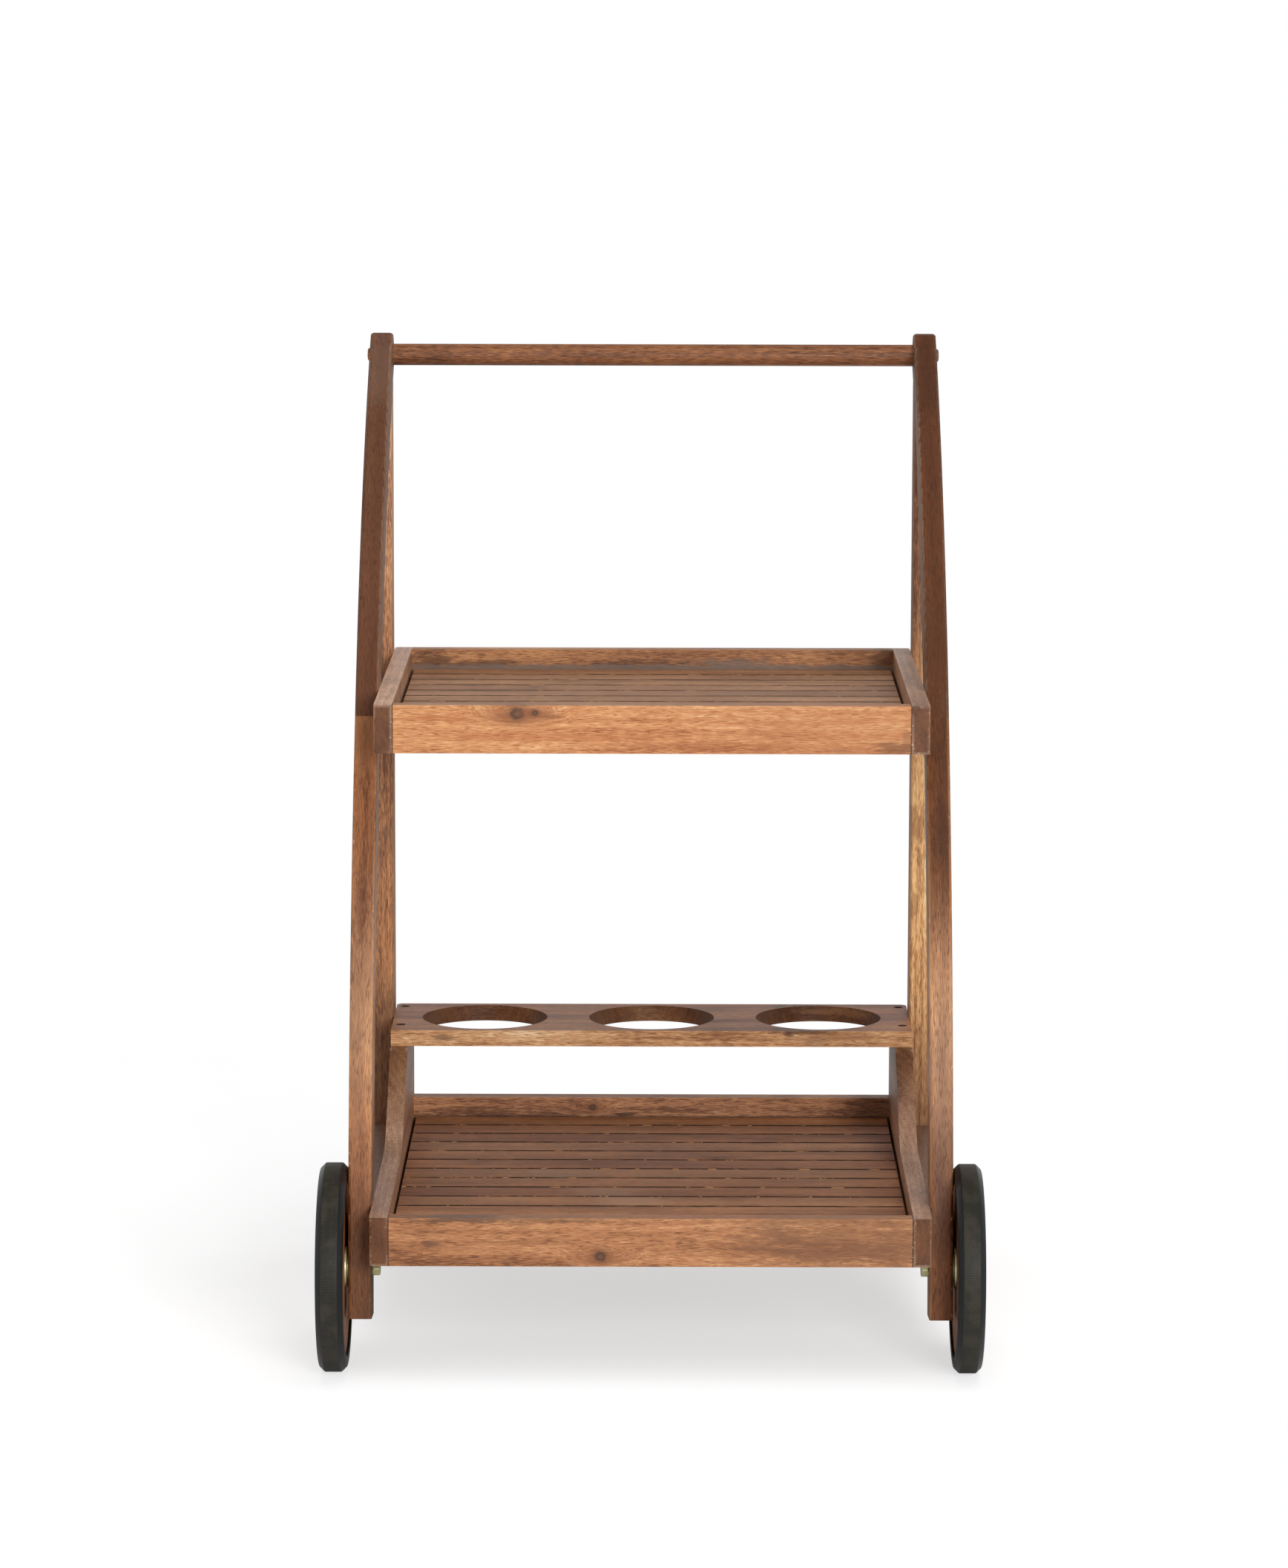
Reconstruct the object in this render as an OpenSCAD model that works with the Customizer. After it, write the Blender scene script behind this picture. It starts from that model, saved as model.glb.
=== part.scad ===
// Two-tier bar cart: slatted trays between two curved side frames, a bottle board, a round handle
// and two wheels. Millimetres. X runs across the cart, Y from its wheels back to its handle, Z up
// from the floor. The trays' drawings count Y from the lower tray's front face, and the whole cart
// is then centred on its footprint.

/* [Trays] */
// Outer width over the side rails of both trays
tray_w = 470; // [430:1:520]
// Depth of the lower tray over its front and rear rails
lower_tray_d = 512; // [490:1:560]
// Depth of the upper tray, whose back lines up with the lower tray's back
upper_tray_d = 399; // [370:1:420]
// Height of the lower tray's rail tops above the floor
lower_tray_top = 144; // [140:1:160]
// Height of the upper tray's rail tops above the floor
upper_tray_top = 560.5; // [530:0.5:590]
// Height of the tray rails
rail_h = 41; // [40:0.5:44]
// Thickness of the tray rails
rail_t = 15.5; // [14:0.5:20]
// Rounding of the trays' outer corners
tray_corner = 3; // [1:0.5:8]

/* [Slats] */
// Number of slats in the lower tray
lower_slats = 13; // [9:1:15]
// Number of slats in the upper tray
upper_slats = 10; // [8:1:12]
// Gap between two slats, and between a slat and the rail beside it
slat_gap = 2; // [1:0.5:6]
// Thickness of the slats
slat_t = 11; // [8:0.5:11]
// Depth of the slats' top faces below the rail tops
slat_drop = 18; // [10:0.5:18]
// Gap between a slat's end and the side rail
slat_end_gap = 2.5; // [1:0.5:5]
// Rounding of the slats' long edges
slat_round = 1.5; // [0.5:0.25:3]
// Width of the battens that carry the slats
batten_w = 20; // [16:0.5:30]

/* [Side frames] */
// Thickness of the side frames, across the cart
leg_t = 20; // [19:0.5:28]
// Width of every side frame member, seen from the side
leg_w = 38; // [36:0.5:44]
// Rounding of the side frame members' long edges
leg_round = 2.5; // [1:0.5:5]
// Height of the front legs' lower ends above the floor
leg_foot = 47; // [40:1:60]
// Distance of the front legs' joint behind the upper tray's front face
joint_back = 103.5; // [95:0.5:112]
// Lean of the front legs from upright at the joint
joint_lean = 31; // [29:0.5:33]
// Distance from the rear legs' back faces to the trays' back
rear_leg_inset = 19; // [15:0.5:24]
// Height of the stretchers between the front and rear legs
stretcher_h = 40; // [30:0.5:44]
// Height of the stretchers' top faces above the floor
stretcher_top = 127.5; // [124:0.5:130]

/* [Handle] */
// Diameter of the handle bar
handle_d = 19.4; // [18:0.2:26]
// Height of the handle bar's axis above the floor
handle_z = 829.4; // [810:0.1:850]
// Distance from the handle bar's axis to the trays' back
handle_inset = 19; // [15:0.5:19]

/* [Bottle board] */
// Depth of the bottle board
board_d = 130; // [124:1:150]
// Thickness of the bottle board
board_t = 14.4; // [10:0.2:20]
// Height of the bottle board's underside above the lower tray's rail tops
board_rise = 69.4; // [55:0.1:90]
// Overhang of the bottle board past the trays' back
board_overhang = 6; // [0:0.5:15]
// Rounding of the bottle board's rear corners
board_corner = 6; // [2:0.5:12]
// Diameter of the bottle holes
bottle_hole_d = 114; // [80:1:116]
// Distance between two bottle holes' centres
bottle_pitch = 152; // [130:1:154]
// Distance of the front board screws behind the board's front edge
board_screw_front = 28; // [12:1:40]
// Distance of the rear board screws ahead of the board's back edge
board_screw_rear = 14; // [13:1:30]
// Slope of the lower side rails where they rise to the board
riser_slope = 33; // [25:1:45]
// Flat stretch of the side rails ahead of the board's front edge
riser_landing = 11; // [2:1:20]
// Radius of the hollow where the side rails begin to rise
riser_fillet = 50; // [20:1:70]

/* [Wheels] */
// Diameter of the wheels over their tyres
wheel_d = 176.6; // [165:0.2:185]
// Width of the tyres
tyre_w = 23; // [20:0.5:30]
// Thickness of the tyres, from their seat to the tread
tyre_t = 13; // [9:0.5:18]
// Size of the slanted shoulders on both sides of the tread
tyre_shoulder = 4.5; // [2:0.25:6]
// Thickness of the wooden wheel discs
disc_t = 19; // [16:0.5:24]
// Distance of the axles behind the lower tray's front face
axle_y = 58.5; // [54:0.5:62]
// Diameter of the axle bolts
axle_d = 8; // [6:0.5:10]
// Diameter of the hub flanges
hub_flange_d = 34; // [28:1:44]
// Thickness of the hub flanges
hub_flange_t = 1.7; // [1.5:0.1:3]
// Outer diameter of the hub tubes
hub_tube_d = 14; // [13:0.5:18]
// Diameter of the washers between hub and leg
axle_washer_d = 24; // [20:0.5:28]
// Thickness of the washers between hub and leg
axle_washer_t = 1; // [0.8:0.1:3]
// Diameter of the axle bolts' domed heads
axle_head_d = 20; // [16:0.5:24]
// Height of the axle bolts' domed heads
axle_head_h = 4; // [3:0.1:6]
// Diameter of the flat on top of an axle bolt's head
axle_head_top_d = 11; // [6:0.5:14]
// Width of the axle nuts across their flats
axle_nut_w = 13; // [13:0.5:17]
// Height of the axle nuts
axle_nut_h = 6.5; // [5:0.1:8]

/* [Fasteners] */
// Diameter of the frame and handle bolts
bolt_d = 6; // [5:0.5:7]
// Diameter of the bolts' button heads
bolt_head_d = 12; // [10:0.5:13]
// Height of the bolts' button heads
bolt_head_h = 3; // [2:0.1:3.4]
// Diameter of the flat on top of a button head
bolt_head_top_d = 7.2; // [6:0.1:8]
// Width of the bolts' hex sockets across their corners
bolt_socket_d = 4.4; // [3:0.1:5]
// Depth of the bolts' hex sockets
bolt_socket_depth = 1.8; // [1:0.1:1.9]
// Depth of the recesses that sink the frame bolts' heads
bolt_recess = 4; // [3.5:0.1:6]
// Distance of the frame bolts above and below the middle of a rail
bolt_spread = 10; // [9.5:0.25:11]
// Outer diameter of the threaded inserts
insert_d = 10; // [9.5:0.1:12]
// Length of the threaded inserts
insert_l = 13; // [10:0.5:13]
// Length of bolt inside a threaded insert
bolt_grip = 11; // [8:0.5:11]
// Diameter of the dowels
dowel_d = 8; // [6:0.5:8]
// Length of the dowels
dowel_l = 30; // [28:1:34]
// Depth of a dowel in the leg or rail that it is set in
dowel_in = 12; // [9:0.5:12]
// Spacing of two dowels in one joint
dowel_pitch = 20; // [19:0.5:21]
// Shank diameter of the tray screws
tray_screw_d = 3.5; // [3:0.1:4]
// Head diameter of the tray screws
tray_screw_head = 7; // [6:0.1:8]
// Shank diameter of the board screws
board_screw_d = 4; // [3.5:0.1:5]
// Head diameter of the board screws
board_screw_head = 8.5; // [7:0.1:10]
// Length of the board screws
board_screw_l = 40; // [35:1:60]
// Wood left past the tip of a tray screw
screw_cover = 3; // [2:0.25:4]

/* [Fits] */
// Radial clearance round bolts, screws, dowels, inserts and the hub
fit = 0.05; // [0.02:0.01:0.1]
// Gap between a dowel's or insert's end and the end of its hole
hole_slack = 0.5; // [0.2:0.1:1]
// End play of the wheels on their axle bolts
run_gap = 0.3; // [0.2:0.05:0.6]
// Glue line where a leg or stretcher is cut to a curved member
glue_gap = 0.1; // [0.05:0.05:0.3]
// Gap round a frame bolt's head in its recess
recess_gap = 0.5; // [0.2:0.1:1.5]

/* [Hidden] */
$fn = 64;
sides = ["left", "right"];
rail_x = tray_w / 2;
leg_mid_x = rail_x + leg_t / 2;
leg_x = rail_x + leg_t;
well_x = rail_x - rail_t;
upper_tray_y = lower_tray_d - upper_tray_d;

// A tray is its front face's place, its depth, the height of its rail tops and its number of slats
lower_tray = [0, lower_tray_d, lower_tray_top, lower_slats];
upper_tray = [upper_tray_y, upper_tray_d, upper_tray_top, upper_slats];
trays = [lower_tray, upper_tray];
function front(t) = t[0];
function depth(t) = t[1];
function top(t) = t[2];
function slats(t) = t[3];
function rail_mid_z(t) = top(t) - rail_h / 2;
function rail_low_z(t) = top(t) - rail_h;

wheel_r = wheel_d / 2;
axle_at = [axle_y, wheel_r];
handle_at = [lower_tray_d - handle_inset, handle_z];
joint_at = [upper_tray_y + joint_back, rail_mid_z(upper_tray)];
rear_leg_back = lower_tray_d - rear_leg_inset;
rear_leg_y = rear_leg_back - leg_w / 2;

// Each front leg is two arcs that meet at the joint, one through the axle and one through the handle
inward = [cos(joint_lean), -sin(joint_lean)];
upward = [sin(joint_lean), cos(joint_lean)];
function arc_radius(p) = (p - joint_at) * (p - joint_at) / (2 * (inward * (p - joint_at)));
lower_r = arc_radius(axle_at);
upper_r = arc_radius(handle_at);
lower_c = joint_at + lower_r * inward;
upper_c = joint_at + upper_r * inward;
joint_turn = 180 - joint_lean;
foot_turn = 180 - asin((leg_foot - lower_c[1]) / lower_r);
handle_turn = atan2(handle_at[1] - upper_c[1], handle_at[0] - upper_c[0]);
// Each curved piece is drawn a leg's width past its joint or the handle, and cut there
function over_turn(r) = asin(leg_w / r);
// The disc that rounds a front leg's end stands past the leg by this much all round
leg_end_swell = 0.6;
leg_end_r = leg_w / 2 + leg_end_swell;
arc_fn = 720;
function arc_y(z, off = 0) = z < joint_at[1]
    ? lower_c[0] - sqrt(pow(lower_r - off, 2) - pow(z - lower_c[1], 2))
    : upper_c[0] - sqrt(pow(upper_r - off, 2) - pow(z - upper_c[1], 2));
function arc_under_z(y) = upper_c[1] + sqrt(pow(upper_r - leg_w / 2, 2) - pow(y - upper_c[0], 2));

// Places of a tray's frame bolts as [y, z], two in the front leg and two in the rear leg
function bolt_spots(t) = [for (rear = [false, true], k = [-1, 1])
    let (z = rail_mid_z(t) + k * bolt_spread) [rear ? rear_leg_y : arc_y(z), z]];
lower_bolts = bolt_spots(lower_tray);
upper_bolts = bolt_spots(upper_tray);
frame_bolt_l = leg_t - bolt_recess + bolt_grip;
handle_bolt_l = leg_t + bolt_grip;

batten_h = rail_h - slat_drop - slat_t;
stretcher_mid_z = stretcher_top - stretcher_h / 2;
stretcher_dowel_z = [for (k = [-1, 1]) stretcher_mid_z + k * stretcher_h / 4];
slat_screw_l = batten_h + slat_t - screw_cover;
batten_screw_l = batten_w + rail_t - screw_cover;

board_z = lower_tray_top + board_rise;
board_back = lower_tray_d + board_overhang;
board_front = board_back - board_d;
riser_head = board_front - riser_landing;
riser_start = riser_head - board_rise / tan(riser_slope);
fillet_run = riser_fillet * tan(riser_slope / 2);
board_screw_x = rail_x - rail_t / 2;
board_screw_y = [board_front + board_screw_front, board_back - board_screw_rear];

hub_x = leg_x + axle_washer_t + run_gap;
disc_x = hub_x + hub_flange_t;
hub_end_x = disc_x + disc_t + hub_flange_t;
tyre_x = disc_x + disc_t / 2 - tyre_w / 2;
axle_head_x = hub_end_x + run_gap;
disc_r = wheel_r - tyre_t;

front_edge = min(0, axle_y - wheel_r);
back_edge = max(board_back, handle_at[0] + leg_end_r);
middle_y = (front_edge + back_edge) / 2;

dark_wood = "#6b4630";
warm_wood = "#a8693a";
light_wood = "#c08a58";
grey_wood = "#8c6c5a";
rubber = "#2b2b28";
zinc = "#c9b878";
copper = "#b5714a";
steel = "#b0b2b4";

// Sets a piece's colour and moves it from the trays' drawing to the centred frame
module finish(tone) {
    color(tone) translate([0, -middle_y, 0]) children();
}

function side_sign(s) = s == "left" ? -1 : 1;

// Draws the right-hand piece, or its mirror image for the left
module on_side(s) {
    if (s == "left") mirror([1, 0, 0]) children();
    else children();
}

// Rectangle with rounded corners, centred
module rounded_rect(w, h, r) {
    square([w - 2 * r, h], center = true);
    square([w, h - 2 * r], center = true);
    for (x = [-1, 1], y = [-1, 1]) translate([x * (w / 2 - r), y * (h / 2 - r)]) circle(r);
}

// Turns a drawing in the side view's plane upright, its thickness along X
module side_view(x) {
    translate([x, 0, 0]) rotate([90, 0, 90]) children();
}

// Cylinder along X from x0 to x1 at a place in the side view
module rod_x(x0, x1, at, d) {
    side_view(x0) translate(at) cylinder(d = d, h = x1 - x0);
}

// Cylinder along Y from y0
module rod_y(x, y0, z, d, l) {
    translate([x, y0, z]) rotate([-90, 0, 0]) cylinder(d = d, h = l);
}

// Part of a curved member at x, between two turns about a centre in the side view
module curved_member(x, c, r, from, to) {
    side_view(x) translate(c) rotate([0, 0, from]) rotate_extrude(angle = to - from, $fn = arc_fn)
        translate([r, 0]) rounded_rect(leg_w, leg_t, leg_round, $fn = 48);
}

// Disc with a rounded rim, a little thicker than a front leg, that rounds the leg's end
module leg_end_disc() {
    t = leg_t + 2 * leg_end_swell;
    rotate_extrude($fn = 128) intersection() {
        rounded_rect(2 * leg_end_r, t, leg_round + 2 * leg_end_swell, $fn = 48);
        translate([0, -t / 2]) square([leg_end_r, t]);
    }
}

// What the round end of a front leg leaves out, past the handle's axis
module leg_end_waste() {
    side_view(leg_mid_x) translate(handle_at) rotate([0, 0, handle_turn - 90]) difference() {
        translate([0, -leg_w, -leg_t]) cube([3 * leg_w, 2 * leg_w, 2 * leg_t]);
        leg_end_disc();
    }
}

// Dowels of a front leg's joint, along its lean, widened by extra and lengthened by slack
module joint_dowels(extra = 0, slack = 0) {
    for (k = [-1, 1]) {
        off = k * dowel_pitch / 2;
        at = joint_at + off * inward - (off * inward[1] / upward[1]) * upward;
        translate([leg_mid_x, at[0], at[1]]) rotate([-joint_lean, 0, 0])
            cylinder(d = dowel_d + 2 * extra, h = dowel_l + 2 * slack, center = true);
    }
}

// Dowels between a rear leg's top and the front leg above it
module rear_leg_dowels(extra = 0, slack = 0) {
    for (k = [-1, 1]) {
        y = rear_leg_y + k * dowel_pitch / 2;
        translate([leg_mid_x, y, arc_under_z(y)])
            cylinder(d = dowel_d + 2 * extra, h = dowel_l + 2 * slack, center = true);
    }
}

// Dowels at both ends of a stretcher
module stretcher_dowels(extra = 0, slack = 0) {
    l = dowel_l + 2 * slack;
    for (z = stretcher_dowel_z) {
        rod_y(leg_mid_x, arc_y(z, leg_w / 2) - dowel_in - slack, z, dowel_d + 2 * extra, l);
        rod_y(leg_mid_x, rear_leg_back - leg_w + dowel_in - dowel_l - slack, z, dowel_d + 2 * extra, l);
    }
}

// Dowels between a tray's side rails and its front and rear rails
module end_rail_dowels(t, extra = 0, slack = 0) {
    for (y = [front(t) + rail_t / 2, front(t) + depth(t) - rail_t / 2], k = [-1, 1])
        rod_x(well_x + dowel_in - dowel_l - slack, well_x + dowel_in + slack,
            [y, rail_mid_z(t) + k * dowel_pitch / 2], dowel_d + 2 * extra);
}

// Dowels at both ends of a tray's middle batten
module batten_dowels(t, extra = 0, slack = 0) {
    z = rail_low_z(t) + batten_h / 2;
    l = dowel_l + 2 * slack;
    rod_y(0, front(t) + rail_t - dowel_in - slack, z, dowel_d + 2 * extra, l);
    rod_y(0, front(t) + depth(t) - rail_t + dowel_in - dowel_l - slack, z, dowel_d + 2 * extra, l);
}

// Holes and head recesses for frame bolts in a leg
module leg_bolt_holes(spots) {
    for (at = spots) {
        rod_x(rail_x - 1, leg_x + 1, at, bolt_d + 2 * fit);
        rod_x(leg_x - bolt_recess, leg_x + 1, at, bolt_head_d + 2 * recess_gap);
    }
}

// Holes for threaded inserts in a side rail
module insert_holes(spots) {
    for (at = spots) rod_x(rail_x - insert_l - hole_slack, rail_x + 1, at, insert_d + 2 * fit);
}

// Block that fills a front leg's side view from z0 to z1
module height_band(z0, z1) {
    translate([rail_x - 1, -lower_tray_d, z0]) cube([leg_t + 2, 3 * lower_tray_d, z1 - z0]);
}

// The curved members are alike on both faces, so each is drawn once and only its holes are mirrored
module front_leg_lower(s) {
    finish(warm_wood) difference() {
        intersection() {
            mirror([1, 0, 0]) curved_member(-side_sign(s) * leg_mid_x, lower_c, lower_r,
                joint_turn - over_turn(lower_r), foot_turn);
            on_side(s) height_band(0, joint_at[1]);
        }
        on_side(s) {
            leg_bolt_holes([lower_bolts[0], lower_bolts[1], upper_bolts[0]]);
            rod_x(rail_x - 1, leg_x + 1, axle_at, axle_d + 2 * fit);
            joint_dowels(fit, hole_slack);
            stretcher_dowels(fit, hole_slack);
        }
    }
}

module front_leg_upper(s) {
    finish(dark_wood) difference() {
        intersection() {
            curved_member(side_sign(s) * leg_mid_x, upper_c, upper_r,
                handle_turn - over_turn(upper_r), joint_turn + over_turn(upper_r));
            on_side(s) height_band(joint_at[1], handle_z + 2 * leg_w);
        }
        on_side(s) {
            leg_end_waste();
            leg_bolt_holes([upper_bolts[1]]);
            rod_x(rail_x - 1, leg_x + 1, handle_at, bolt_d + 2 * fit);
            joint_dowels(fit, hole_slack);
            rear_leg_dowels(fit, hole_slack);
        }
    }
}

module rear_leg(s) {
    finish(light_wood) on_side(s) difference() {
        intersection() {
            translate([leg_mid_x, rear_leg_y, 0]) linear_extrude(handle_z)
                rounded_rect(leg_t, leg_w, leg_round);
            rod_x(rail_x - 1, leg_x + 1, upper_c, 2 * (upper_r - leg_w / 2 - glue_gap), $fn = arc_fn);
        }
        leg_bolt_holes([lower_bolts[2], lower_bolts[3], upper_bolts[2], upper_bolts[3]]);
        rear_leg_dowels(fit, hole_slack);
        stretcher_dowels(fit, hole_slack);
    }
}

module stretcher(s) {
    finish(grey_wood) on_side(s) difference() {
        intersection() {
            translate([leg_mid_x, 0, stretcher_mid_z]) rotate([-90, 0, 0])
                linear_extrude(rear_leg_back - leg_w) rounded_rect(leg_t, stretcher_h, leg_round);
            rod_x(rail_x - 1, leg_x + 1, lower_c, 2 * (lower_r - leg_w / 2 - glue_gap), $fn = arc_fn);
        }
        stretcher_dowels(fit, hole_slack);
    }
}

module handle_bar() {
    finish(warm_wood) difference() {
        rod_x(-rail_x, rail_x, handle_at, handle_d);
        for (s = sides) on_side(s)
            rod_x(rail_x - insert_l - hole_slack, rail_x + 1, handle_at, insert_d + 2 * fit);
    }
}

// Button-head bolt along X, its head's seat at x and its shank running inwards
module button_bolt(x, at, l) {
    difference() {
        union() {
            rod_x(x - l, x, at, bolt_d);
            side_view(x) translate(at) cylinder(d1 = bolt_head_d, d2 = bolt_head_top_d, h = bolt_head_h);
        }
        side_view(x + bolt_head_h - bolt_socket_depth) translate(at)
            cylinder(d = bolt_socket_d, h = bolt_head_h, $fn = 6);
    }
}

module handle_bolts() {
    finish(copper) for (s = sides) on_side(s) button_bolt(leg_x, handle_at, handle_bolt_l);
}

module frame_bolts() {
    finish(steel) for (s = sides, at = concat(lower_bolts, upper_bolts)) on_side(s)
        button_bolt(leg_x - bolt_recess, at, frame_bolt_l);
}

module threaded_inserts() {
    finish(zinc) for (s = sides, at = concat(lower_bolts, upper_bolts, [handle_at])) on_side(s)
        difference() {
            rod_x(rail_x - insert_l, rail_x, at, insert_d);
            rod_x(rail_x - insert_l - 1, rail_x + 1, at, bolt_d + 2 * fit);
        }
}

module dowels() {
    finish(light_wood) {
        for (s = sides) on_side(s) {
            joint_dowels();
            rear_leg_dowels();
            stretcher_dowels();
            for (t = trays) end_rail_dowels(t);
        }
        for (t = trays) batten_dowels(t);
    }
}

// Side view of a plain side rail, as its corners in turn from the front and up
function rail_outline(t) = [[front(t), rail_low_z(t)], [front(t), top(t)],
    [front(t) + depth(t), top(t)], [front(t) + depth(t), rail_low_z(t)]];

// Side view of a lower side rail, which rises through a hollow to the bottle board
hollow_at = [riser_start - fillet_run, lower_tray_top + riser_fillet];
hollow_steps = 16;
lower_rail_outline = concat(
    [[0, rail_low_z(lower_tray)], [0, lower_tray_top]],
    [for (k = [0:hollow_steps]) let (turn = riser_slope * k / hollow_steps)
        hollow_at + riser_fillet * [sin(turn), -cos(turn)]],
    [[riser_head, board_z], [lower_tray_d, board_z], [lower_tray_d, rail_low_z(lower_tray)]]);

// Side rail of a tray, cut from an outline in the side view, with the tray's outer corners rounded
module side_rail(t, outline, spots) {
    difference() {
        intersection() {
            side_view(well_x) linear_extrude(rail_t) polygon(outline);
            translate([0, front(t) + depth(t) / 2, rail_low_z(t) - 1])
                linear_extrude(rail_h + board_rise + 2) rounded_rect(tray_w, depth(t), tray_corner);
        }
        insert_holes(spots);
        end_rail_dowels(t, fit, hole_slack);
        batten_screws(t, fit);
    }
}

module lower_side_rail(s) {
    finish(grey_wood) on_side(s) difference() {
        side_rail(lower_tray, lower_rail_outline, lower_bolts);
        for (y = board_screw_y) board_screw(y, fit);
    }
}

module upper_side_rail(s) {
    finish(grey_wood) on_side(s) side_rail(upper_tray, rail_outline(upper_tray), upper_bolts);
}

// Front or rear rail of a tray, with its front face at y
module end_rail(tone, t, y) {
    finish(tone) difference() {
        translate([-well_x, y, rail_low_z(t)]) cube([2 * well_x, rail_t, rail_h]);
        for (s = sides) on_side(s) end_rail_dowels(t, fit, hole_slack);
        batten_dowels(t, fit, hole_slack);
    }
}

module front_rail(t) {
    end_rail(light_wood, t, front(t));
}

module rear_rail(t) {
    end_rail(grey_wood, t, front(t) + depth(t) - rail_t);
}

// Width of a tray's slats, and place of the front edge of slat i
function slat_w(t) = (depth(t) - 2 * rail_t - (slats(t) + 1) * slat_gap) / slats(t);
function slat_y(t, i) = front(t) + rail_t + slat_gap + (i - 1) * (slat_w(t) + slat_gap);

// Two side battens and a middle batten, which lie under a tray's slats
module battens(t) {
    finish(grey_wood) difference() {
        for (x = [-well_x, -batten_w / 2, well_x - batten_w])
            translate([x, front(t) + rail_t, rail_low_z(t)])
                cube([batten_w, depth(t) - 2 * rail_t, batten_h]);
        batten_dowels(t, fit, hole_slack);
        for (s = sides) on_side(s) {
            for (i = [1:slats(t)]) slat_screw(t, i, fit);
            batten_screws(t, fit);
        }
    }
}

module slat(t, i) {
    end_x = well_x - slat_end_gap;
    finish(grey_wood) difference() {
        side_view(-end_x) translate([slat_y(t, i) + slat_w(t) / 2, top(t) - slat_drop - slat_t / 2])
            linear_extrude(2 * end_x) rounded_rect(slat_w(t), slat_t, slat_round);
        for (s = sides) on_side(s) slat_screw(t, i, fit);
    }
}

// Countersunk screw pointing up from its head's face, widened by extra
module screw(d, head, l, extra = 0) {
    cylinder(d = d + 2 * extra, h = l + extra);
    cylinder(d1 = head + 2 * extra, d2 = d + 2 * extra, h = (head - d) / 2);
}

// Screw that holds slat i to the side batten under it
module slat_screw(t, i, extra = 0) {
    translate([well_x - batten_w / 2, slat_y(t, i) + slat_w(t) / 2, rail_low_z(t)])
        screw(tray_screw_d, tray_screw_head, slat_screw_l, extra);
}

// Three screws from a side batten into its side rail, each between two slats
module batten_screws(t, extra = 0) {
    for (i = [3, floor(slats(t) / 2), slats(t) - 3])
        translate([well_x - batten_w, slat_y(t, i + 1) - slat_gap / 2, rail_low_z(t) + batten_h / 2])
            rotate([0, 90, 0]) screw(tray_screw_d, tray_screw_head, batten_screw_l, extra);
}

module tray_screws() {
    finish(steel) for (s = sides, t = trays) on_side(s) {
        for (i = [1:slats(t)]) slat_screw(t, i);
        batten_screws(t);
    }
}

// Board screw pointing down into the side rail
module board_screw(y, extra = 0) {
    translate([board_screw_x, y, board_z + board_t]) rotate([180, 0, 0])
        screw(board_screw_d, board_screw_head, board_screw_l, extra);
}

module board_screws() {
    finish(zinc) for (s = sides, y = board_screw_y) on_side(s) board_screw(y);
}

module bottle_board() {
    finish(light_wood) difference() {
        translate([0, 0, board_z]) linear_extrude(board_t) {
            translate([0, board_front + board_d / 2]) rounded_rect(tray_w, board_d, board_corner);
            translate([-rail_x, board_front]) square([tray_w, board_d / 2]);
        }
        for (k = [-1:1]) translate([k * bottle_pitch, board_front + board_d / 2, board_z - 1])
            cylinder(d = bottle_hole_d, h = board_t + 2, $fn = 128);
        for (s = sides, y = board_screw_y) on_side(s) board_screw(y, fit);
    }
}

module tyre(s) {
    finish(rubber) on_side(s) side_view(tyre_x) translate(axle_at) rotate_extrude($fn = 128)
        polygon([[disc_r + fit, 0], [wheel_r - tyre_shoulder, 0], [wheel_r, tyre_shoulder],
            [wheel_r, tyre_w - tyre_shoulder], [wheel_r - tyre_shoulder, tyre_w],
            [disc_r + fit, tyre_w]]);
}

module wheel_disc(s) {
    finish(warm_wood) on_side(s) difference() {
        side_view(disc_x) translate(axle_at) cylinder(r = disc_r, h = disc_t, $fn = 128);
        rod_x(disc_x - 1, disc_x + disc_t + 1, axle_at, hub_tube_d + 2 * fit);
    }
}

// Flanged hub tube and the loose flange on its outer end
module hub(s) {
    finish(zinc) on_side(s) {
        difference() {
            union() {
                rod_x(hub_x, disc_x, axle_at, hub_flange_d);
                rod_x(hub_x, hub_end_x, axle_at, hub_tube_d);
            }
            rod_x(hub_x - 1, hub_end_x + 1, axle_at, axle_d + 2 * fit);
        }
        difference() {
            rod_x(disc_x + disc_t, hub_end_x, axle_at, hub_flange_d);
            rod_x(disc_x, hub_end_x + 1, axle_at, hub_tube_d + 2 * fit);
        }
    }
}

module axle_bolts() {
    finish(zinc) for (s = sides) on_side(s) {
        rod_x(rail_x - axle_nut_h, axle_head_x, axle_at, axle_d);
        side_view(axle_head_x) translate(axle_at)
            cylinder(d1 = axle_head_d, d2 = axle_head_top_d, h = axle_head_h);
    }
}

module axle_nuts() {
    finish(zinc) for (s = sides) on_side(s) difference() {
        side_view(rail_x - axle_nut_h) translate(axle_at)
            cylinder(d = axle_nut_w / cos(30), h = axle_nut_h, $fn = 6);
        rod_x(rail_x - axle_nut_h - 1, rail_x + 1, axle_at, axle_d + 2 * fit);
    }
}

module axle_washers() {
    finish(zinc) for (s = sides) on_side(s) difference() {
        rod_x(leg_x, leg_x + axle_washer_t, axle_at, axle_washer_d);
        rod_x(leg_x - 1, hub_x + 1, axle_at, axle_d + 2 * fit);
    }
}

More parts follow.
